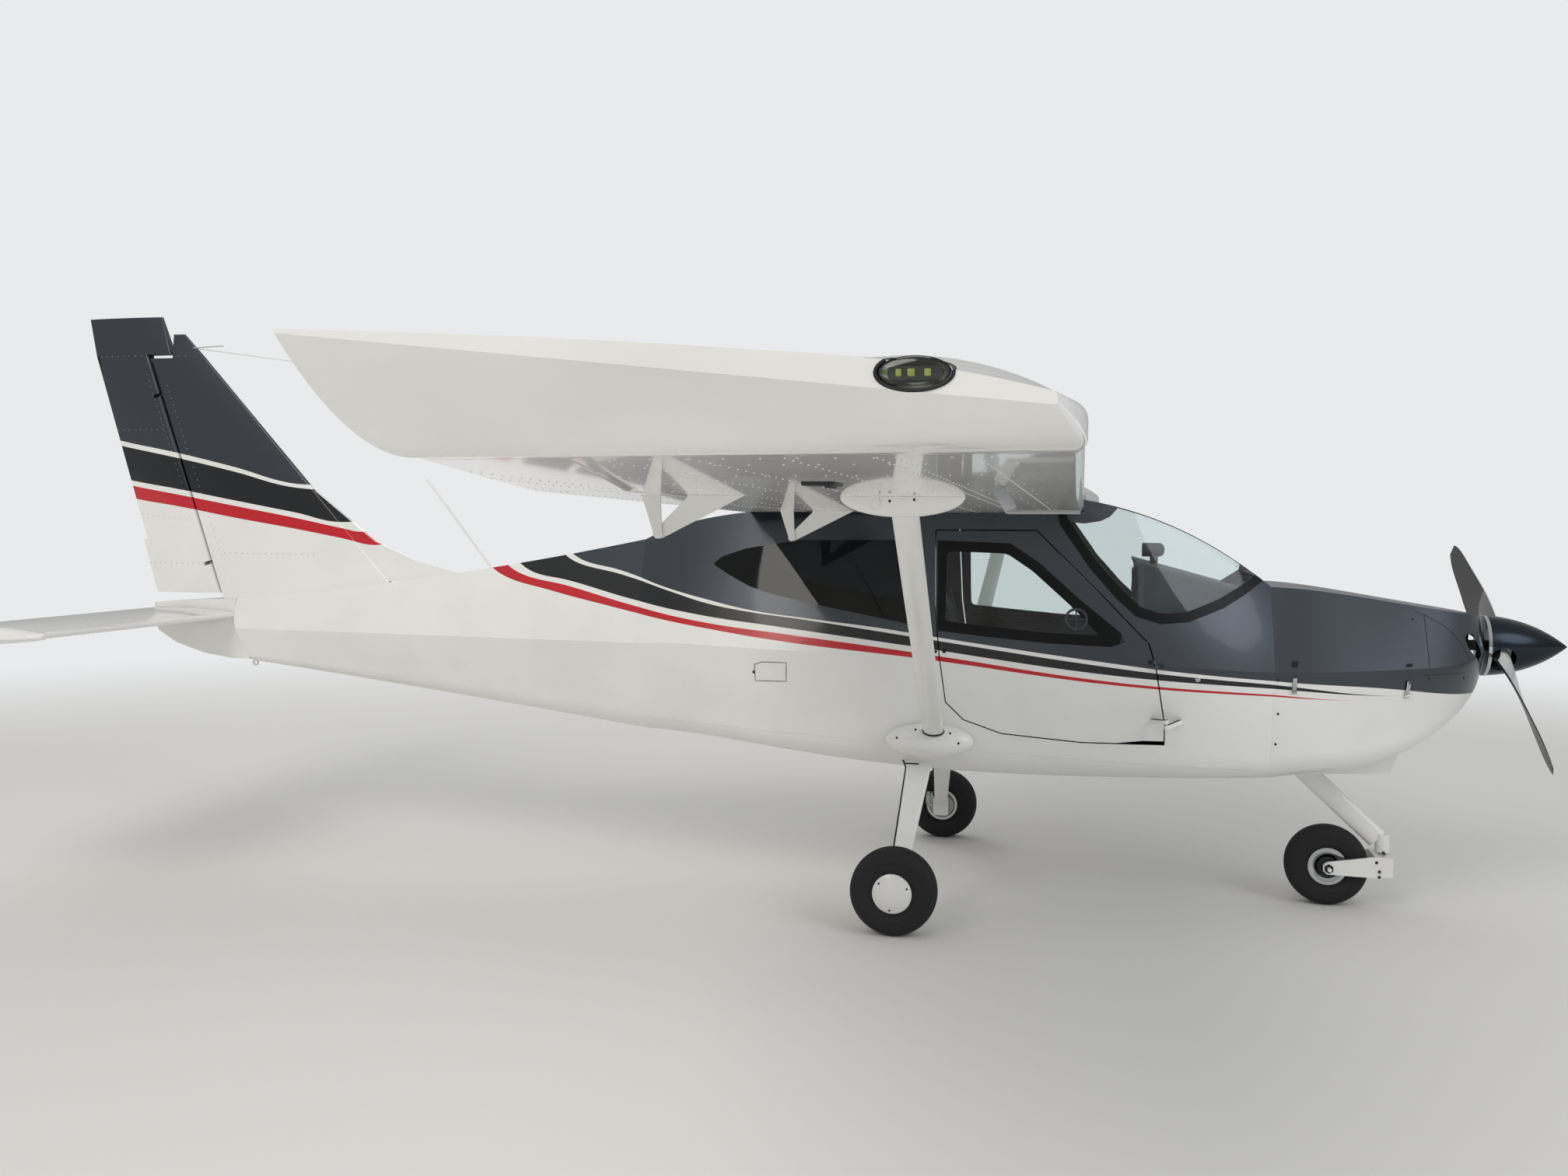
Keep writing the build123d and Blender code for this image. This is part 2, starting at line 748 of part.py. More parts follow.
def rudder_plane(z):
    """Plane square to the hinge line, with x pointing forward."""
    run = Vector(hinge_high_x - hinge_low_x, 0, fin_high_z - fin_low_z)
    return Plane(origin=(hinge_x(z), 0, z), x_dir=(run.Z, 0, -run.X), z_dir=run)


with BuildPart() as fin:
    base_z = 1200
    base_share = (base_z - fin_low_z) / (fin_high_z - fin_low_z)
    base_le = fin_le_low_x + base_share * (fin_le_high_x - fin_le_low_x)
    base_te = rudder_te_low_x + base_share * (fin_te_high_x - rudder_te_low_x)
    sections = [
        tail_section(base_z, base_le, base_te, fin_thick_low, rear_x=hinge_x(base_z) + 40),
        tail_section(
            fin_high_z, fin_le_high_x, fin_te_high_x, fin_thick_high,
            rear_x=hinge_x(fin_high_z) + 40,
        ),
    ]
    loft(sections, ruled=True)
    sections = [
        tail_section(
            fin_high_z, fin_le_high_x, fin_te_high_x, fin_thick_high, rear_x=horn_x + move_gap
        ),
        tail_section(
            cap_top_z - 90, fin_le_high_x - 114, tail_x, 40, rear_x=horn_x + move_gap
        ),
    ]
    loft(sections, ruled=True)
    with BuildSketch(Plane.XZ):
        with BuildLine():
            Polyline((-1438, 1340), (-1438, 1364), (-1644, 1416), (-1883, 1518), (-2208, 1768),
                     (-2250, 1300), close=True)
        make_face()
    extrude(amount=10, both=True)
    add(body_loft(tail_table, 0), mode=Mode.SUBTRACT)
    add(side_prism(fairing_outline, -90, 90, grow=seat_gap), mode=Mode.SUBTRACT)
    for z in rudder_hinge_zs:
        with BuildSketch(rudder_plane(z).offset(-lug_thick / 2)):
            Circle(lug_r)
            with Locations((25, 0)):
                Rectangle(50, 2 * lug_r)
        extrude(amount=lug_thick)
        with BuildSketch(rudder_plane(z)):
            Circle(pin_r)
        extrude(amount=pin_reach, both=True)
save("fin", fin.part)

with BuildPart() as rudder:
    sections = [
        tail_section(
            fin_low_z, fin_le_low_x, rudder_te_low_x, fin_thick_low,
            front_x=hinge_x(fin_low_z) + 30, nose=27,
        ),
        tail_section(
            fin_high_z + 20, fin_le_high_x - 14, fin_te_high_x - 4, fin_thick_high,
            front_x=hinge_x(fin_high_z + 20) + 20, nose=14,
        ),
    ]
    loft(sections, ruled=True)
    sections = [
        tail_section(
            fin_high_z + 20, fin_le_high_x - 14, fin_te_high_x - 4, fin_thick_high,
            front_x=horn_x, nose=8,
        ),
        tail_section(cap_top_z, fin_le_high_x - 220, tail_x, 30, front_x=horn_x - 60, nose=3),
    ]
    loft(sections, ruled=True)
    behind_tab = [(-3172, tab_top_z), (-3300, tab_top_z), (-3600, 2440), (-3446, 2440)]
    add(side_prism(behind_tab, -60, 60), mode=Mode.SUBTRACT)
    for z in rudder_hinge_zs:
        with BuildSketch(rudder_plane(z)):
            with Locations((50 - slot_r, 0)):
                Rectangle(100, 120)
        extrude(amount=lug_thick / 2 + hinge_gap, both=True, mode=Mode.SUBTRACT)
        with BuildSketch(rudder_plane(z)):
            Circle(pin_r + run_gap)
        extrude(amount=pin_reach + 2, both=True, mode=Mode.SUBTRACT)
save("rudder", rudder.part)


def stab_section(y, le_x, te_x, thick, front_x=None, rear_x=None):
    crest = le_x + 0.33 * (te_x - le_x)
    tip = 0.2 * thick
    with BuildSketch(Plane.XZ.offset(-y)) as section:
        with BuildLine():
            ThreePointArc((le_x - tip, stab_z - tip), (le_x, stab_z), (le_x - tip, stab_z + tip))
            ThreePointArc((le_x - tip, stab_z + tip), (crest, stab_z + thick / 2),
                          (te_x, stab_z + 2))
            Line((te_x, stab_z + 2), (te_x, stab_z - 2))
            ThreePointArc((te_x, stab_z - 2), (crest, stab_z - thick / 2),
                          (le_x - tip, stab_z - tip))
        make_face()
        if front_x is not None:
            with Locations((front_x - 500, stab_z)):
                Rectangle(1000, 400, mode=Mode.INTERSECT)
        if rear_x is not None:
            with Locations((rear_x + 1000, stab_z)):
                Rectangle(2000, 400, mode=Mode.INTERSECT)
    return section.sketch


with BuildPart() as stabilator:
    for way in side.values():
        loft([
            stab_section(way * stab_root_y, stab_le_x, stab_te_x, stab_thick),
            stab_section(way * stab_tip_y, stab_le_x, stab_te_x, stab_thick),
        ], ruled=True)
        loft([
            stab_section(way * stab_tip_y, stab_le_x, stab_te_x, stab_thick),
            stab_section(way * (stab_tip_y + 45), stab_le_x + 35, stab_te_x, stab_thick + 4),
            stab_section(way * stab_half_span, stab_le_x - 10, stab_te_x + 40, 30),
        ])
        tab_mid = way * (stab_root_y + 12 + tab_half) / 2
        with Locations((stab_te_x, tab_mid, stab_z)):
            Box(2 * (tab_chord + seat_gap), tab_half - stab_root_y + 4, 90, mode=Mode.SUBTRACT)
    with BuildSketch(Plane.XZ) as tube:
        with Locations((stab_pivot_x, stab_z)):
            Circle(torque_r)
    extrude(amount=stab_root_y + 10, both=True)
save("stabilator", stabilator.part)

with BuildPart() as stabilator_tab:
    for way in side.values():
        loft([
            stab_section(way * y, stab_le_x, stab_te_x, stab_thick, front_x=stab_te_x + tab_chord)
            for y in (stab_root_y + 16, tab_half)
        ], ruled=True)
save("stabilator_tab", stabilator_tab.part)

# Cowl, chin scoop, firewall and engine
cowl_outer = body_loft(cowl_table, 0)
cowl_inner = body_loft(cowl_table, cowl_skin)
shaft_hole_r = 88.0
split_rear_z = 1004.0
split_front_z = 1030.0
split_front_x = 2860.0
upper_outline = [
    (firewall_x, split_rear_z), (split_front_x, split_front_z), (split_front_x, 1500),
    (firewall_x, 1500),
]
upper_prism = side_prism(upper_outline, -700, 700)
leg_foot = Vector(steer_x - 20, 0, 290)
leg_top = Vector(firewall_x, 0, 745)
leg_plane = Plane(origin=leg_foot, x_dir=(0, 1, 0), z_dir=leg_top - leg_foot)
leg_length = (leg_top - leg_foot).length + 60
leg_chord = 86.0
leg_thick = 40.0
with BuildPart() as leg_hole:
    with BuildSketch(leg_plane):
        Ellipse(leg_thick / 2 + 6, leg_chord / 2 + 6)
    extrude(amount=leg_length)

with BuildPart() as cowl_upper:
    add(cowl_outer)
    add(cowl_inner, mode=Mode.SUBTRACT)
    add(upper_prism, mode=Mode.INTERSECT)
save("cowl_upper", cowl_upper.part)

with BuildPart() as cowl_lower:
    add(cowl_outer)
    with BuildPart(mode=Mode.PRIVATE) as cowl_space:
        add(cowl_inner)
        with Locations((cowl_end_x - cowl_skin - 1000, 0, 1100)):
            Box(2000, 1400, 1400, mode=Mode.INTERSECT)
    add(cowl_space.part, mode=Mode.SUBTRACT)
    add(upper_prism, mode=Mode.SUBTRACT)
    add(leg_hole.part, mode=Mode.SUBTRACT)
    with BuildSketch(Plane.YZ.offset(cowl_end_x - 200)):
        with Locations((0, hub_z)):
            Circle(shaft_hole_r)
        for way in side.values():
            with Locations((way * 215, 1130)):
                Ellipse(36, 56)
    extrude(amount=300, mode=Mode.SUBTRACT)
save("cowl_lower", cowl_lower.part)

scoop_half = 165.0
scoop_outline = [
    (2324, 640), (2324, 575), (2788, 597), (2833, 717), (2833, 830), (2600, 830),
]
with BuildPart() as chin_scoop:
    add(side_prism(scoop_outline, -scoop_half, scoop_half))
    inner = [(2332, 650), (2332, 583), (2784, 605), (2900, 640), (2900, 900), (2600, 900)]
    add(side_prism(inner, 8 - scoop_half, scoop_half - 8), mode=Mode.SUBTRACT)
    add(cowl_outer, mode=Mode.SUBTRACT)
    add(leg_hole.part, mode=Mode.SUBTRACT)
save("chin_scoop", chin_scoop.part)

with BuildPart() as firewall:
    add(body_loft(cabin_table, skin + seat_gap))
    with Locations((firewall_x - seat_gap - firewall_thick / 2, 0, 1000)):
        Box(firewall_thick, 1400, 1400, mode=Mode.INTERSECT)
save("firewall", firewall.part)

with BuildPart() as engine_block:
    with Locations((2650, 0, 1030)):
        Box(420, 420, 300)
    with BuildSketch(Plane.YZ.offset(2850)):
        with Locations((0, hub_z)):
            Circle(75)
    extrude(amount=190)
    with BuildSketch(Plane.YZ.offset(3030)):
        with Locations((0, hub_z)):
            Circle(shaft_r)
    extrude(amount=150)
    with BuildSketch(Plane.YZ.offset(firewall_x)):
        with Locations((0, 1030)):
            with GridLocations(340, 220, 2, 2):
                Circle(14)
    extrude(amount=160)
save("engine_block", engine_block.part)

# Propeller and spinner
with BuildPart() as spinner:
    with BuildSketch(Plane.XZ):
        with BuildLine():
            Line((spinner_base_x, hub_z), (spinner_base_x, hub_z + spinner_r))
            ThreePointArc((spinner_base_x, hub_z + spinner_r), (3330, hub_z + 92), (nose_x, hub_z))
            Line((nose_x, hub_z), (spinner_base_x, hub_z))
        make_face()
    revolve(axis=Axis((0, 0, hub_z), (1, 0, 0)))
    with BuildSketch(Plane.XZ):
        with BuildLine():
            Line((spinner_base_x + 5, hub_z), (spinner_base_x + 5, hub_z + spinner_r - 5))
            ThreePointArc((spinner_base_x + 5, hub_z + spinner_r - 5), (3330, hub_z + 86),
                          (nose_x - 12, hub_z))
            Line((nose_x - 12, hub_z), (spinner_base_x + 5, hub_z))
        make_face()
    revolve(axis=Axis((0, 0, hub_z), (1, 0, 0)), mode=Mode.SUBTRACT)
    with BuildSketch(Plane.YZ.offset(spinner_base_x - 5)):
        with Locations((0, hub_z)):
            Circle(hub_r + seat_gap)
    extrude(amount=15, mode=Mode.SUBTRACT)
    blade_dir = Vector(0, cos(radians(prop_angle)), sin(radians(prop_angle)))
    with BuildSketch(Plane(origin=(prop_x, 0, hub_z), z_dir=blade_dir)):
        Circle(52)
    extrude(amount=200, both=True, mode=Mode.SUBTRACT)
save("spinner", spinner.part)

# Columns: radius, chord, thickness
blade_table = [
    (45, 70, 42),
    (200, 100, 26),
    (420, 122, 16),
    (650, 108, 11),
    (800, 84, 7),
    (prop_r, 48, 4),
]
with BuildPart() as propeller:
    with BuildSketch(Plane.YZ.offset(spinner_base_x)):
        with Locations((0, hub_z)):
            Circle(hub_r)
            Circle(shaft_r + run_gap, mode=Mode.SUBTRACT)
    extrude(amount=prop_x + 20 - spinner_base_x)
    with BuildSketch(Plane.YZ.offset(prop_x + 20)):
        with Locations((0, hub_z)):
            Circle(hub_r)
    extrude(amount=25)
    for way in (1, -1):
        sections = []
        for radius, chord, thick in blade_table:
            out = blade_dir * way
            pitch = atan(prop_pitch / (2 * pi * radius))
            moving = Vector(1, 0, 0).cross(out)
            chord_dir = moving * cos(pitch) + Vector(sin(pitch), 0, 0)
            origin = Vector(prop_x, 0, hub_z) + out * radius
            with BuildSketch(Plane(origin=origin, x_dir=chord_dir, z_dir=out)) as blade_section:
                with BuildLine():
                    Line((-chord / 2, -thick / 4), (chord / 2, -thick / 4))
                    Line((chord / 2, -thick / 4), (chord / 2, thick / 8))
                    ThreePointArc((chord / 2, thick / 8), (0, 3 * thick / 4),
                                  (-chord / 2, thick / 8))
                    Line((-chord / 2, thick / 8), (-chord / 2, -thick / 4))
                make_face()
            sections.append(blade_section.sketch)
        loft(sections)
save("propeller", propeller.part)


# Wheels
def tyre_part(x, y, radius, half_width):
    with BuildPart() as tyre:
        with BuildSketch(Plane.YZ):
            with BuildLine():
                low = (half_width - 14, rim_r)
                wall_point = (half_width, 0.55 * radius + 0.45 * rim_r)
                shoulder = (half_width - 20, radius - 14)
                Line((-low[0], low[1]), low)
                ThreePointArc(low, wall_point, shoulder)
                ThreePointArc(shoulder, (0, radius), (-shoulder[0], shoulder[1]))
                ThreePointArc((-shoulder[0], shoulder[1]), (-wall_point[0], wall_point[1]),
                              (-low[0], low[1]))
            make_face()
        revolve(axis=Axis.Y)
    return tyre.part.moved(Location((x, y, radius)))


def rim_part(x, y, radius, half_width, cap_way):
    """A disc wheel with its bore along Y. cap_way is the side that has a domed cap, or 0."""
    face = half_width - 12
    way = cap_way or 1
    with BuildPart() as rim:
        with BuildSketch(Plane.YZ):
            with BuildLine():
                Polyline(
                    (-way * face, rim_r), (-way * face, 66), (-way * 18, 62), (-way * 18, 32),
                    (-way * face, 32), (-way * face, axle_r + run_gap),
                    (way * (face - 6), axle_r + run_gap), (way * (face - 6), 32), (way * 18, 32),
                    (way * 18, 62), (way * face, 66),
                )
                if cap_way:
                    Spline((way * face, 66), (way * (face + 10), 40), (way * (face + 15), 0))
                    Line((way * (face + 15), 0), (way * (face + 19), 0))
                    Spline((way * (face + 19), 0), (way * (face + 14), 44),
                           (way * (face + 2), rim_r))
                    Line((way * (face + 2), rim_r), (-way * face, rim_r))
                else:
                    Polyline((way * face, 66), (way * face, rim_r), (-way * face, rim_r))
            make_face()
        revolve(axis=Axis.Y)
    return rim.part.moved(Location((x, y, radius)))


for name, way in side.items():
    save(f"main_tyre_{name}", tyre_part(main_x, way * half_track, main_r, main_half_width))
    rim = rim_part(main_x, way * half_track, main_r, main_half_width, way)
    save(f"main_rim_{name}", rim)
save("nose_tyre", tyre_part(nose_wheel_x, 0, nose_r, nose_half_width))
save("nose_rim", rim_part(nose_wheel_x, 0, nose_r, nose_half_width, 0))

# Main legs with their axles
with BuildPart() as main_legs:
    for way in side.values():
        top = Vector(892, way * 400, 690)
        foot = Vector(main_x, way * 775, main_r + 10)
        sections = []
        for point, chord, thick in ((top, 110, 30), (foot, 62, 22)):
            with BuildSketch(Plane(origin=point, x_dir=(1, 0, 0), z_dir=top - foot)) as cut:
                RectangleRounded(chord, thick, 8)
            sections.append(cut.sketch)
        loft(sections, ruled=True)
    add(cabin_outer, mode=Mode.SUBTRACT)
save("main_legs", main_legs.part)

with BuildPart() as main_axles:
    for way in side.values():
        with BuildSketch(Plane.XZ.offset(-way * 768)):
            with Locations((main_x, main_r)):
                RectangleRounded(76, 90, 10)
        extrude(amount=-way * 34)
        with BuildSketch(Plane.XZ.offset(-way * 800)):
            with Locations((main_x, main_r)):
                Circle(axle_r)
        extrude(amount=-way * 105)
    add(main_legs.part, mode=Mode.SUBTRACT)
save("main_axles", main_axles.part)

# Nose leg and fork
with BuildPart() as nose_leg:
    with BuildSketch(leg_plane):
        Ellipse(leg_thick / 2, leg_chord / 2)
    extrude(amount=leg_length)
    with BuildSketch(Plane.XY.offset(236)):
        with Locations((steer_x, 0)):
            Circle(30)
    extrude(amount=75)
    with Locations((firewall_x - 200, 0, 745)):
        Box(400, 400, 400, mode=Mode.SUBTRACT)
    with BuildSketch(Plane.XY.offset(165)):
        with Locations((steer_x, 0)):
            Circle(12)
    extrude(amount=90)
save("nose_leg", nose_leg.part)

fork_outline = [
    (nose_wheel_x - 22, nose_r - 12), (nose_wheel_x - 22, nose_r + 12),
    (nose_wheel_x - 6, nose_r + 26), (2745, 226), (2826, 226), (2818, 145), (2748, 140),
    (nose_wheel_x - 6, nose_r - 26),
]
with BuildPart() as nose_fork:
    for way in side.values():
        add(side_prism(fork_outline, way * 74, way * 86))
    with BuildSketch(Plane.XY.offset(145)):
        with Locations((2790, 0)):
            Rectangle(70, 172)
    extrude(amount=82)
    with BuildSketch(Plane.XY.offset(140)):
        with Locations((steer_x, 0)):
            Circle(12 + run_gap)
    extrude(amount=100, mode=Mode.SUBTRACT)
    with BuildSketch(Plane.XZ):
        with Locations((nose_wheel_x, nose_r)):
            Circle(axle_r)
    extrude(amount=90, both=True)
    with BuildSketch(Plane.XZ):
        with Locations((nose_wheel_x, nose_r)):
            Circle(tow_pin_r)
    extrude(amount=tow_pin_end, both=True)
save("nose_fork", nose_fork.part)

# Antennas and probe
with BuildPart() as antennas:
    base = Vector(-1250, 0, 1372)
    tip = Vector(-1600, 0, 1820)
    with BuildSketch(Plane(origin=base, z_dir=tip - base)):
        Circle(5)
    extrude(amount=(tip - base).length)
    for way in side.values():
        base = Vector(-2880, way * 8, 2490)
        tip = Vector(-2420, way * 420, 2440)
        with BuildSketch(Plane(origin=base, z_dir=tip - base)):
            Circle(3)
        extrude(amount=(tip - base).length)
    add(body_loft(tail_table, 0), mode=Mode.SUBTRACT)
    add(fin.part, mode=Mode.SUBTRACT)
save("antennas", antennas.part)

# Pitot probe under the starboard wing
probe_x = 1420.0
probe_y = -3000.0
with BuildPart() as pitot_probe:
    low = wing_low(probe_y)
    mast = [
        (probe_x + 30, low - 62), (probe_x, low - 62), (probe_x - 70, low + 30),
        (probe_x - 10, low + 30),
    ]
    add(cross_plate(mast, probe_y, 10))
    with BuildSketch(Plane.YZ.offset(probe_x - 20)):
        with Locations((probe_y, low - 60)):
            Circle(7)
    extrude(amount=170)
    add(above_wing(half_span, seat_gap), mode=Mode.SUBTRACT)
save("pitot_probe", pitot_probe.part)
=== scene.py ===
import math

import bmesh
import bpy
from mathutils import Matrix, Vector
from mathutils.bvhtree import BVHTree


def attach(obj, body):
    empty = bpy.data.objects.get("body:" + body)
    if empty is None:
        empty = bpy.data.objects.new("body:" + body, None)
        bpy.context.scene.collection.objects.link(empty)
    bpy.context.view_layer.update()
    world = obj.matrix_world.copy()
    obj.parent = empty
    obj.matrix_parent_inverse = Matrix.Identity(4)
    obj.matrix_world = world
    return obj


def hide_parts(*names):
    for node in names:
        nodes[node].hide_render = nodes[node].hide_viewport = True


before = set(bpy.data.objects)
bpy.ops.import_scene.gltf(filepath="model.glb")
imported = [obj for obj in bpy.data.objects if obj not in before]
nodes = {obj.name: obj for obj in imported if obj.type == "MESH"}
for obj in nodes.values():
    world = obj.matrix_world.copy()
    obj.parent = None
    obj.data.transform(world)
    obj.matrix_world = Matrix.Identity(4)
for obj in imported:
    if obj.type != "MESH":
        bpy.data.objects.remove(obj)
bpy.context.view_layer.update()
print("stage: frame loaded")


# Shared helpers for colours and materials
def linearColour(code, alpha=1.0):
    parts = [int(code[i:i + 2], 16) / 255 for i in (1, 3, 5)]
    bright = [c / 12.92 if c <= 0.04045 else ((c + 0.055) / 1.055) ** 2.4 for c in parts]
    return bright + [alpha]


def addNode(tree, kind, inputs=None, **settings):
    node = tree.nodes.new(kind)
    for name, value in settings.items():
        setattr(node, name, value)
    for key, value in (inputs or {}).items():
        if isinstance(value, bpy.types.NodeSocket):
            tree.links.new(value, node.inputs[key])
        else:
            node.inputs[key].default_value = value
    return node


def startMaterial(name, inputs=None):
    material = bpy.data.materials.new(name)
    material.use_nodes = True
    tree = material.node_tree
    tree.nodes.clear()
    shader = addNode(tree, "ShaderNodeBsdfPrincipled", inputs)
    addNode(tree, "ShaderNodeOutputMaterial", {"Surface": shader.outputs["BSDF"]})
    return material, tree, shader


def objectCoords(tree):
    return addNode(tree, "ShaderNodeTexCoord").outputs["Object"]


def joinMask(tree, operation, first, second):
    return addNode(
        tree, "ShaderNodeMath", {0: first, 1: second}, operation=operation
    ).outputs["Value"]


def blendColour(tree, mask, low, high):
    node = addNode(tree, "ShaderNodeMix", {"Factor": mask}, data_type="RGBA")
    for index, value in ((6, low), (7, high)):
        if isinstance(value, bpy.types.NodeSocket):
            tree.links.new(value, node.inputs[index])
        else:
            node.inputs[index].default_value = value
    return node.outputs[2]


def shaded(code, share):
    return [c * share for c in linearColour(code)[:3]] + [1.0]


def tint(tree, shader, mask, low, high):
    tree.links.new(blendColour(tree, mask, low, high), shader.inputs["Base Color"])


def varyGloss(tree, shader, value, low, high):
    rough = addNode(tree, "ShaderNodeMapRange", {"Value": value, "To Min": low, "To Max": high})
    tree.links.new(rough.outputs["Result"], shader.inputs["Roughness"])


def weathered(tree, coords, code, scale, detail, top, most):
    # paint with soft patches of thin dirt
    smudge = addNode(
        tree, "ShaderNodeTexNoise", {"Vector": coords, "Scale": scale, "Detail": detail}
    )
    soft = addNode(
        tree, "ShaderNodeMapRange",
        {"Value": smudge.outputs["Fac"], "From Min": 0.45, "From Max": top, "To Max": most},
    )
    return blendColour(
        tree, soft.outputs["Result"], linearColour(code), linearColour(paint["dirt"])
    )


def grainBump(tree, shader, coords, scale, strength, distance, detail=4.0):
    noise = addNode(
        tree, "ShaderNodeTexNoise", {"Vector": coords, "Scale": scale, "Detail": detail}
    )
    bump = addNode(
        tree, "ShaderNodeBump",
        {"Height": noise.outputs["Fac"], "Strength": strength, "Distance": distance},
    )
    tree.links.new(bump.outputs["Normal"], shader.inputs["Normal"])
    return noise.outputs["Fac"]


paint = {
    "white": "#F1F1EE",
    "greyBase": "#30353B",
    "greyFlake": "#545A62",
    "black": "#0B0D11",
    "red": "#C4121F",
    "dirt": "#D9D7D0",
    "lining": "#1C1E21",
}

# Edges of the paint scheme seen from the side, as x and z in metres
stripeEdges = {
    "redLow": [
        (-3.60, 1.80), (-3.22, 1.725), (-2.97, 1.689), (-2.65, 1.634), (-2.30, 1.577),
        (-2.055, 1.532), (-1.88, 1.499), (-1.60, 1.60), (-1.30, 1.52), (-1.12, 1.378),
        (-0.82, 1.303), (-0.55, 1.250), (-0.285, 1.202), (-0.03, 1.165), (0.325, 1.120),
        (0.88, 1.069), (1.697, 0.975), (2.302, 0.941), (2.62, 0.930), (3.60, 0.930),
    ],
    "redHigh": [
        (-3.60, 1.86), (-3.243, 1.793), (-2.965, 1.748), (-2.646, 1.693), (-2.304, 1.632),
        (-2.057, 1.582), (-1.96, 1.565), (-1.60, 1.66), (-1.22, 1.53), (-1.03, 1.388),
        (-0.739, 1.327), (-0.38, 1.246), (-0.034, 1.189), (0.309, 1.153), (0.88, 1.091),
        (1.698, 0.987), (2.302, 0.948), (2.62, 0.930), (3.60, 0.930),
    ],
    "blackLow": [
        (-3.60, 1.89), (-3.252, 1.821), (-2.964, 1.776), (-2.646, 1.720), (-2.305, 1.659),
        (-2.058, 1.612), (-1.55, 1.70), (-1.15, 1.54), (-0.96, 1.394), (-0.743, 1.352),
        (-0.384, 1.272), (-0.037, 1.217), (0.276, 1.183), (0.865, 1.116), (1.697, 1.014),
        (2.301, 0.973), (2.80, 0.946), (3.60, 0.946),
    ],
    "blackHigh": [
        (-3.60, 2.06), (-3.298, 1.997), (-2.964, 1.934), (-2.646, 1.865), (-2.308, 1.783),
        (-1.50, 1.75), (-0.90, 1.56), (-0.74, 1.443), (-0.486, 1.386), (-0.212, 1.315),
        (-0.043, 1.272), (0.118, 1.245), (0.424, 1.211), (0.863, 1.155), (1.697, 1.045),
        (1.862, 1.026), (2.30, 0.989), (2.80, 0.946), (3.60, 0.946),
    ],
    "greyLow": [
        (-3.60, 2.09), (-3.312, 2.025), (-2.972, 1.961), (-2.646, 1.888), (-2.309, 1.802),
        (-1.50, 1.78), (-0.86, 1.57), (-0.71, 1.453), (-0.488, 1.403), (-0.25, 1.335),
        (-0.043, 1.288), (0.164, 1.247), (0.424, 1.218), (0.719, 1.188), (0.863, 1.169),
        (1.143, 1.132), (1.697, 1.062), (1.880, 1.040), (2.299, 1.004), (2.711, 0.978),
        (3.045, 0.942), (3.60, 0.93),
    ],
}


def stripeHeight(tree, along, edge):
    node = addNode(tree, "ShaderNodeFloatCurve", {"Value": along})
    node.mapping.use_clip = False
    points = node.mapping.curves[0].points
    places = [((x + 4) / 8, z / 4) for x, z in stripeEdges[edge]]
    points[0].location = places[0]
    points[1].location = places[-1]
    for place in places[1:-1]:
        points.new(*place)
    for point in points:
        point.handle_type = "AUTO_CLAMPED"
    node.mapping.update()
    return joinMask(tree, "MULTIPLY", node.outputs["Value"], 4.0)


def inwardMask(tree, coords):
    normal = addNode(tree, "ShaderNodeTexCoord").outputs["Normal"]
    middle = addNode(
        tree, "ShaderNodeVectorMath", {0: coords, 1: (0.0, 0.0, 1.1)}, operation="SUBTRACT"
    )
    flat = addNode(
        tree, "ShaderNodeVectorMath", {0: middle.outputs["Vector"], 1: (0.0, 1.0, 1.0)},
        operation="MULTIPLY",
    )
    facing = addNode(
        tree, "ShaderNodeVectorMath", {0: flat.outputs["Vector"], 1: normal},
        operation="DOT_PRODUCT",
    )
    return joinMask(tree, "LESS_THAN", facing.outputs["Value"], -0.05)


def liveryPaint(name):
    # polyurethane paint on moulded composite: white and black are solid, the grey has flake,
    # and faces that look in towards the cabin carry a dark felt lining
    material, tree, shader = startMaterial(name, {"Coat Roughness": 0.05})
    coords = objectCoords(tree)
    split = addNode(tree, "ShaderNodeSeparateXYZ", {"Vector": coords})
    x, z = split.outputs["X"], split.outputs["Z"]
    along = joinMask(tree, "MULTIPLY", joinMask(tree, "ADD", x, 4.0), 0.125)
    white = weathered(tree, coords, paint["white"], 2.5, 5.0, 0.8, 0.35)
    colour = white
    for edge, above in (
        ("redLow", linearColour(paint["red"])), ("redHigh", white),
        ("blackLow", linearColour(paint["black"])), ("blackHigh", white),
    ):
        mask = joinMask(tree, "GREATER_THAN", z, stripeHeight(tree, along, edge))
        colour = blendColour(tree, mask, colour, above)
    # flake of about 1 mm, coarser than the real one so that it shows
    flake = addNode(tree, "ShaderNodeTexNoise", {"Vector": coords, "Scale": 900.0, "Detail": 2.0})
    grey = blendColour(
        tree, flake.outputs["Fac"], linearColour(paint["greyBase"]),
        linearColour(paint["greyFlake"]),
    )
    mask = joinMask(tree, "GREATER_THAN", z, stripeHeight(tree, along, "greyLow"))
    colour = blendColour(tree, mask, colour, grey)
    lining = inwardMask(tree, coords)
    tint(tree, shader, lining, colour, linearColour(paint["lining"]))
    outside = joinMask(tree, "SUBTRACT", 1.0, lining)
    flaked = joinMask(tree, "MULTIPLY", joinMask(tree, "MULTIPLY", mask, 0.65), outside)
    tree.links.new(flaked, shader.inputs["Metallic"])
    tree.links.new(joinMask(tree, "MULTIPLY", outside, 0.3), shader.inputs["Coat Weight"])
    varyGloss(tree, shader, lining, 0.28, 0.85)
    grainBump(tree, shader, coords, 6.0, 0.06, 0.004)
    return material


liveryMaterial = liveryPaint("paintedComposite")


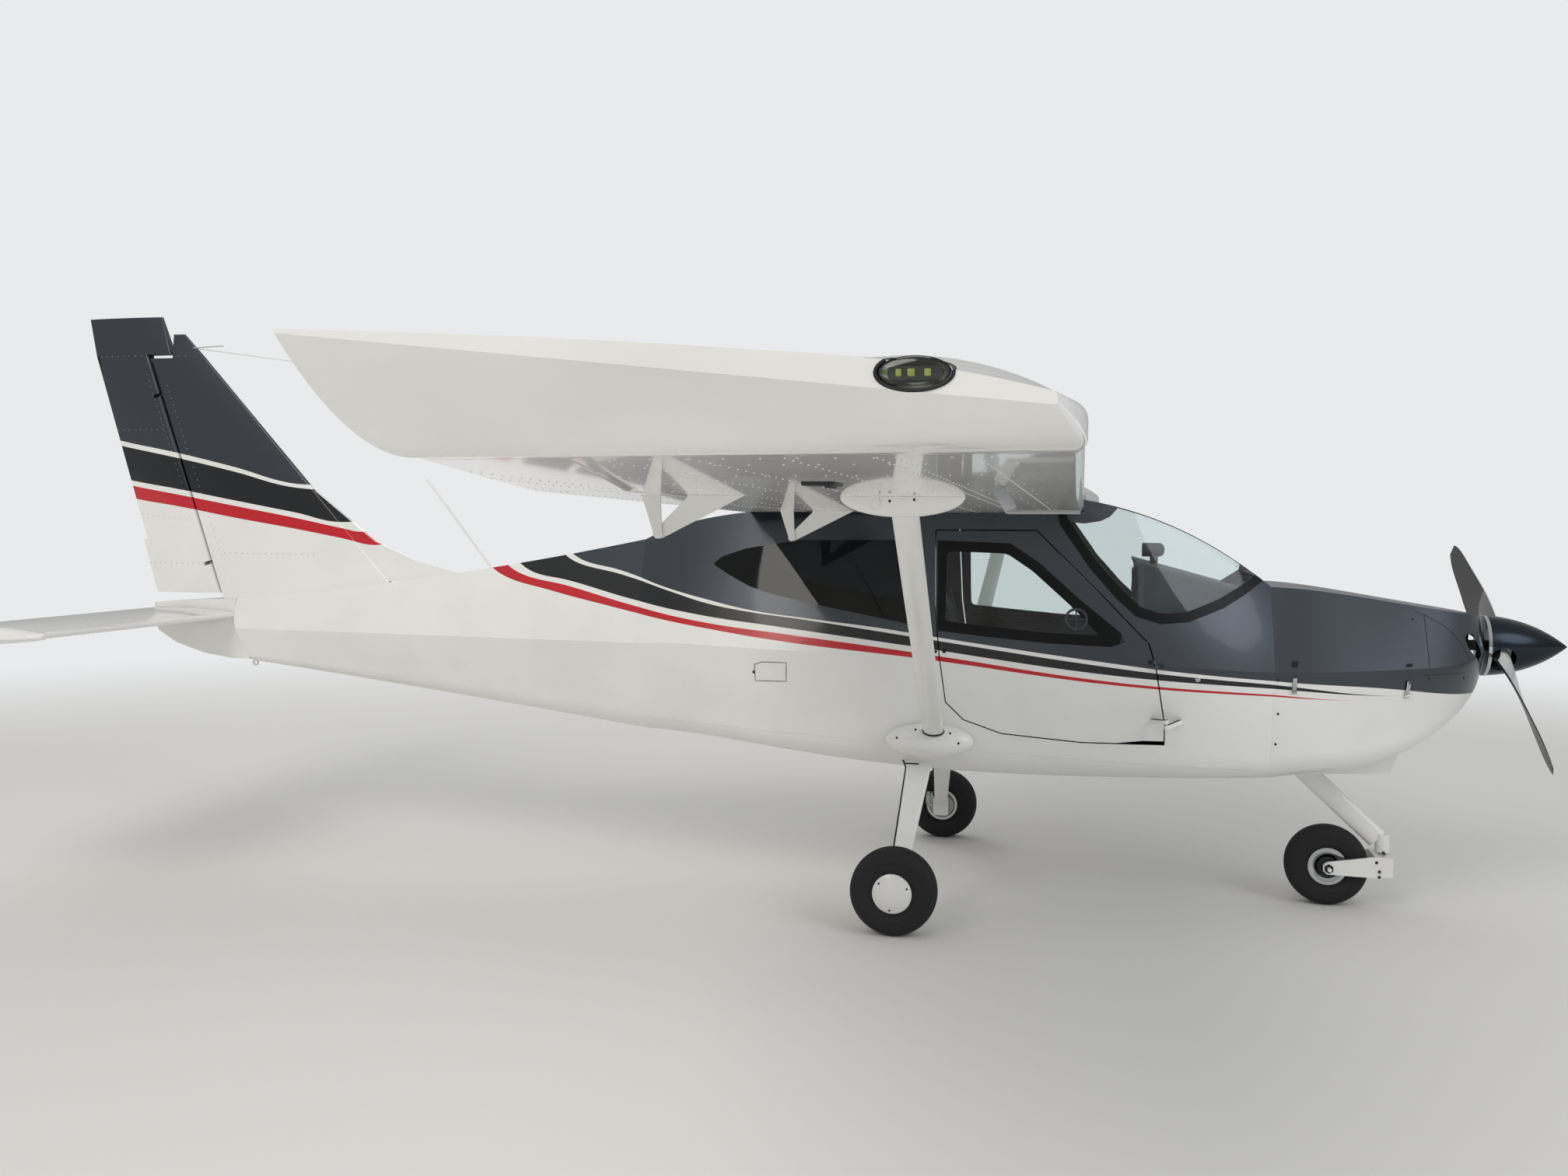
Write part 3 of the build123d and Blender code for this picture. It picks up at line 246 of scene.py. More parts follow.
def plainPaint(name, code, roughness, waves):
    # sprayed gloss paint on sheet metal, with the faint waves of thin sheet between rivets
    material, tree, shader = startMaterial(
        name, {"Roughness": roughness, "Coat Weight": 0.6, "Coat Roughness": 0.04}
    )
    coords = objectCoords(tree)
    colour = weathered(tree, coords, code, 3.0, 6.0, 0.85, 0.4)
    tree.links.new(colour, shader.inputs["Base Color"])
    grainBump(tree, shader, coords, 5.0, waves, 0.006, 2.0)
    return material


wingPaint = plainPaint("paintedAluminiumSheet", paint["white"], 0.22, 0.25)
partPaint = plainPaint("paintedSteelWhite", paint["white"], 0.3, 0.05)


def moulded(name, code, roughness, grain=900.0, strength=0.25):
    # moulded plastic, rubber or short pile, with a fine grain of 1 to 4 mm
    material, tree, shader = startMaterial(name, {"Roughness": roughness, "IOR": 1.53})
    fac = grainBump(tree, shader, objectCoords(tree), grain, strength, 0.0006)
    tint(tree, shader, fac, shaded(code, 0.8), linearColour(code))
    return material


def metal(name, code, roughness, brush=(60.0, 60.0, 60.0), strength=0.08):
    # bare or anodised metal, with fine machining marks that vary the gloss
    material, tree, shader = startMaterial(name, {"Metallic": 1.0})
    place = addNode(
        tree, "ShaderNodeMapping", {"Vector": objectCoords(tree), "Scale": brush}
    )
    fac = grainBump(tree, shader, place.outputs["Vector"], 6.0, strength, 0.0006)
    varyGloss(tree, shader, fac, roughness * 0.7, roughness * 1.3)
    tint(tree, shader, fac, shaded(code, 0.85), linearColour(code))
    return material


def glazing(name, code, roughness=0.02):
    # cast acrylic: clear, with a thin tint that shows at its edges. Its IOR is set below the
    # real 1.49, so that less glare hides the dark cabin
    material, tree, shader = startMaterial(
        name,
        {"Base Color": linearColour(code), "Transmission Weight": 1.0, "IOR": 1.36},
    )
    haze = addNode(
        tree, "ShaderNodeTexNoise",
        {"Vector": objectCoords(tree), "Scale": 4.0, "Detail": 5.0},
    )
    varyGloss(tree, shader, haze.outputs["Fac"], roughness * 0.5, roughness * 1.6)
    return material


acrylic = glazing("castAcrylic", "#E9F0F0")
# the rear windows' dark smoked tint is painted shade: it darkens the glass to stand in for the unlit cabin
# behind it
rearAcrylicPaintedShade = glazing("rearAcrylicPaintedShade", "#3C4248")
lensGlass = glazing("clearPolycarbonateLens", "#F4F7EE")
tyreRubber = moulded("agedTyreRubber", "#17171A", 0.82, 350.0, 0.35)
blackTrim = moulded("blackAbsTrim", "#121316", 0.5)
greyTrim = moulded("greyAbsTrim", "#3C4044", 0.65)
floorCarpet = moulded("darkCarpet", "#202226", 0.95, 260.0, 0.9)
rimPaint = plainPaint("paintedWheelAlloy", "#E8E8E6", 0.32, 0.03)
castIron = metal("castIronBlock", "#55575A", 0.55, (20.0, 20.0, 20.0), 0.3)
machinedSteel = metal("machinedSteel", "#A9ABAE", 0.3)
alloySheet = metal("rolledAluminium", "#B4B7BA", 0.38)
spinnerMetal = metal("paintedSpinner", "#333940", 0.24, (4.0, 120.0, 120.0), 0.03)


def bladePaint():
    # composite blade: silver-white gloss on the front face, matt black behind
    material, tree, shader = startMaterial("compositeBlade", {"Coat Weight": 0.3})
    normal = addNode(tree, "ShaderNodeTexCoord").outputs["Normal"]
    forward = addNode(tree, "ShaderNodeSeparateXYZ", {"Vector": normal}).outputs["X"]
    front = joinMask(tree, "GREATER_THAN", forward, 0.0)
    tint(tree, shader, front, linearColour("#0D0D0F"), linearColour("#DADBDA"))
    varyGloss(tree, shader, front, 0.55, 0.2)
    grainBump(tree, shader, objectCoords(tree), 300.0, 0.05, 0.0004)
    return material


blade = bladePaint()


def gloss(name, code, roughness, coat=0.5, specular=0.5):
    # smooth sprayed or moulded surface that shows a little dust
    material, tree, shader = startMaterial(
        name, {"Coat Weight": coat, "Coat Roughness": 0.05, "Specular IOR Level": specular}
    )
    fac = grainBump(tree, shader, objectCoords(tree), 40.0, 0.03, 0.0006)
    varyGloss(tree, shader, fac, roughness * 0.8, roughness * 1.25)
    light = [min(1.0, c * 1.15 + 0.002) for c in linearColour(code)[:3]] + [1.0]
    tint(tree, shader, fac, linearColour(code), light)
    return material


def woven(name, code, threads, roughness=0.9):
    # woven fabric: crossed threads in relief, with a soft sheen. Their colour carries painted light: a
    # painted highlight on the thread crests and painted shade in the grooves. The threads are 1 to 2 mm
    # apart, coarser than real ones so that they show
    material, tree, shader = startMaterial(
        name, {"Roughness": roughness, "Sheen Weight": 0.35, "Sheen Roughness": 0.4}
    )
    coords = objectCoords(tree)
    height = None
    for turn in ((1.0, 1.0, 0.0), (1.0, -1.0, 1.0)):
        place = addNode(tree, "ShaderNodeMapping", {"Vector": coords, "Rotation": turn})
        wave = addNode(
            tree, "ShaderNodeTexWave",
            {"Vector": place.outputs["Vector"], "Scale": threads, "Distortion": 1.2},
        ).outputs["Fac"]
        height = wave if height is None else joinMask(tree, "MAXIMUM", height, wave)
    bump = addNode(
        tree, "ShaderNodeBump", {"Height": height, "Strength": 0.15, "Distance": 0.0006}
    )
    tree.links.new(bump.outputs["Normal"], shader.inputs["Normal"])
    # painted highlight on the thread crests and painted shade in the grooves: the colour follows the thread
    # height
    tint(tree, shader, height, shaded(code, 0.8), linearColour(code))
    return material


glossBlack = gloss("blackCeramicBorder", "#08090B", 0.3, 0.0, 0.2)
seamDark = gloss("panelGapShadow", "#2B2D30", 0.8, 0.0)
rivetHeads = gloss("paintedRivetHeads", "#D6D6D2", 0.35)
rivetDark = gloss("greyRivetHeads", "#8A8E92", 0.4)
displayGlass = gloss("instrumentGlass", "#11161B", 0.06, 1.0)
diode = gloss("phosphorDiodes", "#9FA83C", 0.25)
darkSteel = metal("blackenedSteel", "#3A3C3F", 0.4)
polishedAlloy = metal("polishedAluminium", "#C9CBCD", 0.14)
blackRubber = moulded("hoseRubber", "#141416", 0.7, 300.0, 0.2)
seatCloth = woven("wovenSeatCloth", "#1E2024", 160.0)
seatThread = woven("seatThread", "#0E0F11", 300.0)
beltWeb = woven("beltWebbing", "#26282B", 220.0)
print("stage: materials made")

# Finishes of the CAD nodes
finishes = {
    liveryMaterial: (
        "cabin_shell", "door_left", "door_right", "tail_cone", "cowl_upper", "cowl_lower",
        "chin_scoop", "fin", "rudder", "tail_fairing", "belly_skin", "roof_panel",
    ),
    wingPaint: (
        "wing_left", "wing_right", "flap_left", "flap_right", "aileron_left",
        "aileron_right", "wing_tips", "stabilator", "stabilator_tab",
    ),
    partPaint: (
        "struts", "strut_fairings", "main_legs", "nose_leg", "nose_fork", "flap_brackets",
        "tie_downs", "pitot_probe", "antennas", "main_axles",
    ),
    rimPaint: ("main_rim_left", "main_rim_right", "nose_rim"),
    tyreRubber: ("main_tyre_left", "main_tyre_right", "nose_tyre"),
    acrylic: ("windshield", "door_glass_left", "door_glass_right"),
    # the rear windows get the darker glass, painted shade for the unlit cabin behind them
    rearAcrylicPaintedShade: ("rear_windows",),
    lensGlass: ("wing_lights",),
    spinnerMetal: ("spinner",),
    blade: ("propeller",),
    castIron: ("engine_block",),
    alloySheet: ("firewall", "baggage_bulkhead"),
    floorCarpet: ("cabin_floor",),
    greyTrim: ("instrument_panel",),
    blackTrim: ("seat_left", "seat_right"),
}
for material, names in finishes.items():
    for name in names:
        mesh = nodes[name].data
        mesh.materials.clear()
        mesh.materials.append(material)
print("stage: nodes finished")

# Helpers for the pieces made here
sides = (("Left", 1), ("Right", -1))  # word, sign of y
skins = {}


def skinOf(names):
    if names not in skins:
        bm = bmesh.new()
        for name in names:
            bm.from_mesh(nodes[name].data)
        skins[names] = BVHTree.FromBMesh(bm)
        bm.free()
    return skins[names]


def castOn(names, start, towards, lift=0.0):
    towards = Vector(towards)
    hit, normal = skinOf(names).ray_cast(Vector(start), towards)[:2]
    if hit is None:
        return None
    if normal.dot(towards) > 0:
        normal = -normal
    return hit + normal * lift, normal


def onSide(names, x, z, way, lift=0.0):
    return castOn(names, (x, way * 4.6, z), (0, -way, 0), lift)


def turned(place, towards):
    turn = Vector(towards).to_track_quat("Z", "Y").to_matrix().to_4x4()
    return Matrix.Translation(place) @ turn


def addCone(bm, start, end, low, high, sides=16):
    start, end = Vector(start), Vector(end)
    bmesh.ops.create_cone(
        bm, cap_ends=True, segments=sides, radius1=low, radius2=high,
        depth=(end - start).length, matrix=turned((start + end) / 2, end - start),
    )


def addBlock(bm, centre, size, edge=0.002, turn=None, segments=2):
    matrix = Matrix.Translation(centre) @ (turn or Matrix.Identity(4))
    made = bmesh.ops.create_cube(bm, size=1, matrix=matrix @ Matrix.Diagonal((*size, 1)))
    edges = {e for v in made["verts"] for e in v.link_edges}
    bmesh.ops.bevel(
        bm, geom=list(edges), offset=edge, segments=segments, affect="EDGES", profile=0.5,
        material=-1,
    )


def addSpin(bm, profile, centre, axis, across=(0, 0, 1), steps=48, closed=True):
    centre, axis, across = Vector(centre), Vector(axis), Vector(across)
    verts = [bm.verts.new(centre + across * r + axis * a) for r, a in profile]
    pairs = zip(verts, verts[1:] + verts[:1]) if closed else zip(verts, verts[1:])
    edges = [bm.edges.new(pair) for pair in pairs]
    bmesh.ops.spin(
        bm, geom=verts + edges, cent=centre, axis=axis, angle=2 * math.pi, steps=steps,
        use_merge=True,
    )
    bmesh.ops.remove_doubles(bm, verts=bm.verts[:], dist=0.00002)


def addTubes(bm, runs, radius, cyclic=False):
    curve = bpy.data.curves.new("run", "CURVE")
    curve.dimensions = "3D"
    curve.bevel_depth = radius
    curve.bevel_resolution = 1
    curve.use_fill_caps = not cyclic
    for run in runs:
        spline = curve.splines.new("POLY")
        spline.points.add(len(run) - 1)
        spline.use_cyclic_u = cyclic
        for point, place in zip(spline.points, run):
            point.co = (*place, 1)
    tube = bpy.data.objects.new("run", curve)
    mesh = bpy.data.meshes.new_from_object(tube)
    bm.from_mesh(mesh)
    bpy.data.objects.remove(tube)
    bpy.data.meshes.remove(mesh)
    bpy.data.curves.remove(curve)


def putPiece(name, bm, material, body, angle=35):
    bmesh.ops.recalc_face_normals(bm, faces=bm.faces[:])
    mesh = bpy.data.meshes.new(name)
    bm.to_mesh(mesh)
    bm.free()
    mesh.shade_smooth()
    mesh.set_sharp_from_angle(angle=math.radians(angle))
    mesh.materials.clear()
    mesh.materials.append(material)
    piece = bpy.data.objects.new(name, mesh)
    bpy.context.scene.collection.objects.link(piece)
    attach(piece, body)
    return piece


def spread(points, step):
    made = []
    for first, second in zip(points, points[1:]):
        first, second = Vector(first), Vector(second)
        count = max(1, round((second - first).length / step))
        made += [first.lerp(second, index / count) for index in range(count)]
    return made + [Vector(points[-1])]


def sideRun(names, points, way, step=0.03, lift=0.0):
    hits = [onSide(names, x, z, way, lift) for x, z in spread(points, step)]
    return [hit[0] for hit in hits if hit]


def addScrews(bm, spots, radius, height=0.002, sides=12):
    for spot in spots:
        if spot:
            place, normal = spot
            addCone(bm, place - normal * 0.001, place + normal * height, radius, radius * 0.7, sides)


# Painted borders of the windows
borders = {
    "lift": 0.0007,
    "glass": [  # piece, glass node, outline, width, body
        ("windshieldBorder", "windshield", "windshield", 0.042, "airframe"),
        ("doorBorderLeft", "door_glass_left", "door", 0.045, "door_left"),
        ("doorBorderRight", "door_glass_right", "door", 0.045, "door_right"),
    ],
    "windshield": [
        (1.36, 1.90), (1.436, 1.664), (1.450, 1.613), (1.570, 1.441), (1.676, 1.320),
        (1.754, 1.249), (1.850, 1.219), (1.961, 1.227), (2.101, 1.283), (2.188, 1.336),
        (2.30, 1.42), (2.60, 1.90),
    ],
    "door": [
        (0.955, 1.180), (1.160, 1.160), (1.412, 1.138), (1.730, 1.124), (1.541, 1.316),
        (1.373, 1.466), (1.257, 1.543), (0.955, 1.553),
    ],
    "roofEdge": [
        (1.36, 1.640), (1.55, 1.622), (1.613, 1.632), (1.650, 1.650), (1.680, 1.685),
        (1.74, 1.90), (1.36, 1.90),
    ],
}


def holder(name, bm):
    mesh = bpy.data.meshes.new(name)
    bm.to_mesh(mesh)
    bm.free()
    thing = bpy.data.objects.new(name, mesh)
    bpy.context.scene.collection.objects.link(thing)
    return thing


def makeCutter(outline, inset):
    bm = bmesh.new()
    face = bm.faces.new([bm.verts.new((x, -0.8, z)) for x, z in outline])
    bm.normal_update()  # the inset follows the face's normal
    if inset:
        rim = bmesh.ops.inset_region(
            bm, faces=[face], thickness=inset, use_even_offset=True, use_boundary=True
        )["faces"]
        bmesh.ops.delete(bm, geom=rim, context="FACES")
        bmesh.ops.bevel(
            bm, geom=bm.verts[:], offset=0.02, segments=4, affect="VERTICES", profile=0.5,
            material=-1,
        )
    grown = bmesh.ops.extrude_face_region(bm, geom=bm.faces[:])["geom"]
    moved = [v for v in grown if isinstance(v, bmesh.types.BMVert)]
    bmesh.ops.translate(bm, vec=(0, 1.6, 0), verts=moved)
    bmesh.ops.recalc_face_normals(bm, faces=bm.faces[:])
    return holder("cutter", bm)


def paintedPart(name, node, cutter, operation, material, body):
    bm = bmesh.new()
    bm.from_mesh(nodes[node].data)
    bmesh.ops.remove_doubles(bm, verts=bm.verts[:], dist=0.00001)
    copy = holder("copy", bm)
    cut = copy.modifiers.new("cut", "BOOLEAN")
    cut.operation = operation
    cut.object = cutter
    cut.solver = "EXACT"
    shaped = copy.evaluated_get(bpy.context.evaluated_depsgraph_get())
    bm = bmesh.new()
    bm.from_mesh(shaped.to_mesh())
    bpy.data.objects.remove(copy)
    bpy.data.objects.remove(cutter)
    bm.normal_update()
    for vert in bm.verts:
        vert.co += vert.normal * borders["lift"]
    return putPiece(name, bm, material, body)


for name, node, outline, width, body in borders["glass"]:
    paintedPart(
        name, node, makeCutter(borders[outline], width), "DIFFERENCE", glossBlack, body,
    )
paintedPart(
    "windshieldTop", "windshield", makeCutter(borders["roofEdge"], 0), "INTERSECT",
    liveryMaterial, "airframe",
)
print("stage: window borders made")

# Tyres with grooved treads
tyres = {
    "rim": 0.078,
    "steps": 72,
    "wheels": [  # piece, node, body, x, y, radius, half width
        ("mainTyreLeft", "main_tyre_left", "main_wheel_left", 0.838, 0.870, 0.173, 0.0645),
        ("mainTyreRight", "main_tyre_right", "main_wheel_right", 0.838, -0.870, 0.173, 0.0645),
        ("noseTyre", "nose_tyre", "nose_wheel", 2.572, 0.0, 0.170, 0.0595),
    ],
    "tread": [  # share of the half width, drop below the crown
        (0.10, 0.0002), (0.13, 0.0060), (0.19, 0.0060), (0.22, 0.0007), (0.40, 0.0018),
        (0.43, 0.0075), (0.49, 0.0078), (0.52, 0.0028), (0.68, 0.0070), (0.80, 0.0125),
        (0.89, 0.0205),
    ],
    "wall": [  # share of the half width, height above the rim
        (0.955, 0.066), (0.985, 0.055), (1.0, 0.044), (0.975, 0.040), (0.985, 0.036),
        (0.95, 0.022), (0.87, 0.012), (0.80, 0.009), (0.78, 0.002), (0.62, 0.0),
    ],
}
for name, node, body, x, y, radius, half in tyres["wheels"]:
    side = [(radius - drop, half * share) for share, drop in tyres["tread"]]
    side += [(tyres["rim"] + rise, half * share) for share, rise in tyres["wall"]]
    outline = side + [(r, -a) for r, a in reversed(side)]
    bm = bmesh.new()
    addSpin(bm, outline, (x, y, radius), (0, 1, 0), steps=tyres["steps"])
    tyre = putPiece(name, bm, tyreRubber, body, 28)
    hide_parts(node)

wheelParts = {
    "main": (0.838, 0.173),  # x and z of the axle
    "nose": (2.572, 0, 0.170),
    "capScrewR": 0.0645,
    "capScrewTurns": (22, 142, 262),
    "noseRing": [
        (0.0815, 0.047), (0.079, 0.0505), (0.072, 0.051), (0.060, 0.0485), (0.052, 0.045),
        (0.050, 0.040), (0.056, 0.030), (0.079, 0.030),
    ],
    "noseHub": [
        (0.048, 0.026), (0.040, 0.044), (0.030, 0.0475), (0.020, 0.0475), (0.0175, 0.046),
        (0.0175, 0.026),
    ],
    "disc": [(0.034, 0.0), (0.060, 0.0), (0.060, 0.005), (0.034, 0.005)],
}
for word, way in sides:
    wheel = f"main_wheel_{word.lower()}"
    names = (f"main_rim_{word.lower()}",)
    x, z = wheelParts["main"]
    bm = bmesh.new()
    spots = []
    for angle in wheelParts["capScrewTurns"]:
        across, up = (wheelParts["capScrewR"] * f(math.radians(angle)) for f in (math.cos, math.sin))
        spots.append(onSide(names, x - way * across, z + up, way))
    addScrews(bm, spots, 0.0048, 0.0022)
    putPiece(f"hubCapScrews{word}", bm, darkSteel, wheel)
    bm = bmesh.new()
    addSpin(bm, wheelParts["disc"], (x, way * 0.810, z), (0, way, 0), steps=40)
    putPiece(f"brakeDisc{word}", bm, machinedSteel, wheel, 30)
    bm = bmesh.new()
    addBlock(bm, (0.786, way * 0.796, 0.205), (0.046, 0.018, 0.078), 0.004)
    addBlock(bm, (0.772, way * 0.790, 0.205), (0.024, 0.020, 0.050), 0.004)
    for lift in (-0.024, 0.024):
        addCone(bm, (0.790, way * 0.792, 0.205 + lift), (0.790, way * 0.780, 0.205 + lift),
                0.006, 0.006, 6)
    putPiece(f"brakeCaliper{word}", bm, alloySheet, "airframe")
    bm = bmesh.new()
    hose = [(0.806, way * 0.452, 0.640)]
    for y in (0.47, 0.50, 0.54, 0.58, 0.62, 0.66, 0.70, 0.74):
        hit = castOn(("main_legs",), (0.6, way * y, 0.624 - (y - 0.445) * 1.32), (1, 0, 0), 0.004)
        if hit:
            hose.append(hit[0])
    hose += [(0.800, way * 0.772, 0.262), (0.782, way * 0.784, 0.236)]
    addTubes(bm, [hose], 0.0036)
    putPiece(f"brakeHose{word}", bm, blackRubber, "airframe")
for name, profile, steps, material, slot in (
    ("noseWheelRings", "noseRing", 56, polishedAlloy, "alloy"),
    ("noseWheelHubs", "noseHub", 40, darkSteel, "engine"),
):
    bm = bmesh.new()
    for way in (1, -1):
        addSpin(bm, wheelParts[profile], wheelParts["nose"], (0, way, 0), steps=steps)
    putPiece(name, bm, material, "nose_wheel", 30)
print("stage: wheels made")

# Seats: stuffed cushions on a moulded shell, with sewn channels and a flat belt
seating = {
    "sides": [("Left", 0.232), ("Right", -0.232)],
    "voxel": 0.006,
    "pressure": 4,
    "frames": 20,
    "cap": 0.024,  # the farthest that the cloth may puff
    "seamR": 0.0028,
    "pads": [  # word, centre x z, size, lean about y in degrees, channel rows
        ("Base", (1.232, 0.757), (0.375, 0.375, 0.062), 5.0, (-0.10, 0.0, 0.10)),
        ("Back", (0.925, 1.045), (0.070, 0.370, 0.52), -14.5, (-0.16, -0.05, 0.06, 0.17)),
    ],
}


def leant(x, z, lean, y=0.0):
    return Matrix.Translation((x, y, z)) @ Matrix.Rotation(math.radians(lean), 4, "Y")


def makePad(size):
    # a closed block, remeshed evenly and puffed by cloth pressure
    bm = bmesh.new()
    addBlock(bm, (0, 0, 0), size, min(size) * 0.33, segments=4)
    pad = holder("pad", bm)
    remesh = pad.modifiers.new("remesh", "REMESH")
    remesh.mode = "VOXEL"
    remesh.voxel_size = seating["voxel"]
    shaped = pad.evaluated_get(bpy.context.evaluated_depsgraph_get())
    mesh = bpy.data.meshes.new_from_object(shaped)
    pad.modifiers.remove(remesh)
    pad.data = mesh
    start = [v.co.copy() for v in mesh.vertices]
    cloth = pad.modifiers.new("cloth", "CLOTH")
    cloth.settings.quality = 5
    cloth.settings.use_pressure = True
    cloth.settings.uniform_pressure_force = seating["pressure"]
    cloth.settings.effector_weights.gravity = 0
    for step in range(1, seating["frames"] + 1):
        bpy.context.scene.frame_set(step)
    puffed = pad.evaluated_get(bpy.context.evaluated_depsgraph_get()).data
    ends = [v.co.copy() for v in puffed.vertices]
    pad.modifiers.remove(cloth)
    for vert, first, last in zip(mesh.vertices, start, ends):
        move = last - first
        if move.length > seating["cap"]:
            move.length = seating["cap"]
        vert.co = first + move
    bpy.context.scene.frame_set(1)
    bm = bmesh.new()
    bm.from_mesh(mesh)
    bpy.data.objects.remove(pad)
    return bm


for word, (x, z), size, lean, rows in seating["pads"]:
    plain = makePad(size)
    tree = BVHTree.FromBMesh(plain)
    flat = size[0] > size[2]
    out = Vector((0, 0, 1)) if flat else Vector((1, 0, 0))
    channels = []
    for row in rows:
        run = []
        for step in range(-17, 18):
            y = step * size[1] / 38
            start = Vector((row, y, 0)) if flat else Vector((0, y, row))
            hit = tree.ray_cast(start + out * 0.2, -out)[0]
            if hit:
                run.append(hit - out * 0.0012)
        channels.append(run)
    for label, y in seating["sides"]:
        place = leant(x, z, lean, y)
        bm = plain.copy()
        bmesh.ops.transform(bm, matrix=place, verts=bm.verts[:])
        pad = putPiece(f"seat{word}{label}", bm, seatCloth, "airframe", 60)
        smooth = pad.modifiers.new("smooth", "SUBSURF")
        smooth.levels = smooth.render_levels = 1
        if word == "Base":
            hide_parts(f"seat_{label.lower()}")
        bm = bmesh.new()
        addTubes(bm, [[place @ point for point in run] for run in channels], seating["seamR"])
        putPiece(f"seatSeams{word}{label}", bm, seatThread, "airframe")
    plain.free()

for label, y in seating["sides"]:
    bm = bmesh.new()
    addBlock(bm, (1.185, y, 0.682), (0.47, 0.385, 0.082), 0.014)
    addBlock(bm, (0, 0, 0), (0.026, 0.39, 0.60), 0.012, leant(0.866, 1.035, -14.5, y))
    addTubes(bm, [[(0.975, y + way * 0.197, 0.70), (0.925, y + way * 0.199, 0.80),
                   (0.845, y + way * 0.197, 1.10)] for way in (1, -1)], 0.011)
    putPiece(f"seatShell{label}", bm, blackTrim, "airframe")
    bm = bmesh.new()
    for way in (1, -1):
        addBlock(bm, (1.075, y + way * 0.11, 0.823), (0.046, 0.17, 0.003), 0.001,
                 leant(0, 0, 0) @ Matrix.Rotation(way * -0.25, 4, "X"))
    addBlock(bm, (0, 0, 0), (0.003, 0.046, 0.50), 0.001, leant(0.985, 1.07, -14.5, y + 0.10))
    putPiece(f"seatBelt{label}", bm, beltWeb, "airframe")
    bm = bmesh.new()
    addBlock(bm, (1.075, y, 0.838), (0.06, 0.055, 0.012), 0.003)
    putPiece(f"beltBuckle{label}", bm, polishedAlloy, "airframe")
print("stage: seats made")

# Panel, compass, yokes and cabin fittings
dials = {
    "x": 1.7645,
    "rows": [  # y, z, radius
        (0.335, 1.375, 0.040), (0.235, 1.375, 0.040), (0.135, 1.375, 0.040),
        (0.335, 1.275, 0.040), (0.235, 1.275, 0.040), (0.135, 1.275, 0.040),
        (-0.26, 1.375, 0.028), (-0.34, 1.375, 0.028), (-0.26, 1.300, 0.028),
        (-0.34, 1.300, 0.028),
    ],
    "radios": [(0.0, 1.405, 0.16, 0.045), (0.0, 1.345, 0.16, 0.060), (0.0, 1.270, 0.16, 0.060)],
    "compass": (1.834, 0.0, 1.507),
}
bm = bmesh.new()
faces = bmesh.new()
for y, z, radius in dials["rows"]:
    addSpin(bm, [(radius, 0.0), (radius, 0.008), (radius * 0.86, 0.008), (radius * 0.8, 0.0)],
            (dials["x"], y, z), (-1, 0, 0), steps=28)
    addCone(faces, (dials["x"], y, z), (dials["x"] - 0.003, y, z), radius * 0.84, radius * 0.84, 28)
for y, z, width, height in dials["radios"]:
    addBlock(bm, (dials["x"] - 0.006, y, z), (0.018, width, height), 0.003)
    addBlock(faces, (dials["x"] - 0.0145, y, z + 0.004), (0.006, width * 0.7, height * 0.5), 0.001)
putPiece("instrumentBezels", bm, blackTrim, "airframe")
putPiece("instrumentGlasses", faces, displayGlass, "airframe")
bm = bmesh.new()
place = Vector(dials["compass"])
addSpin(
    bm, [
        (0.0, -0.040), (0.024, -0.040), (0.026, -0.044), (0.030, -0.042), (0.030, 0.026),
        (0.028, 0.036), (0.022, 0.045), (0.012, 0.050), (0.0, 0.051),
    ], place, (1, 0, 0), steps=36, closed=False,
)
addBlock(bm, place + Vector((0.006, 0, -0.042)), (0.034, 0.026, 0.036), 0.006, segments=3)
putPiece("compass", bm, blackTrim, "airframe")

# Hood of the panel: the top plate is CAD, and the side skirts hang from its edges
hood = {"rear": 1.758, "front": 2.235, "slope": 0.2687, "top": 1.4650, "bend": 1.797, "low": 1.224}
bm = bmesh.new()
for way in (1, -1):
    columns = []
    for step in range(25):
        x = hood["rear"] + (hood["front"] - hood["rear"]) * step / 24
        z = hood["top"] - (x - 1.755) * hood["slope"]
        share = min(1.0, (x - hood["rear"]) / (hood["bend"] - hood["rear"]))
        low = hood["low"] if share == 1 else z - 0.008 - 0.125 * share
        hit = castOn(("instrument_panel",), (x, way * 0.8, z - 0.006), (0, -way, 0))
        if hit:
            y = hit[0].y - way * 0.004
            columns.append([
                bm.verts.new((x, y, max(low, z + (low - z) * part / 4))) for part in range(5)
            ])
    for first, second in zip(columns, columns[1:]):
        for part in range(4):
            bm.faces.new((first[part], first[part + 1], second[part + 1], second[part]))
bmesh.ops.recalc_face_normals(bm, faces=bm.faces[:])
bmesh.ops.solidify(bm, geom=bm.faces[:], thickness=0.003)
putPiece("hoodSkirts", bm, greyTrim, "airframe")

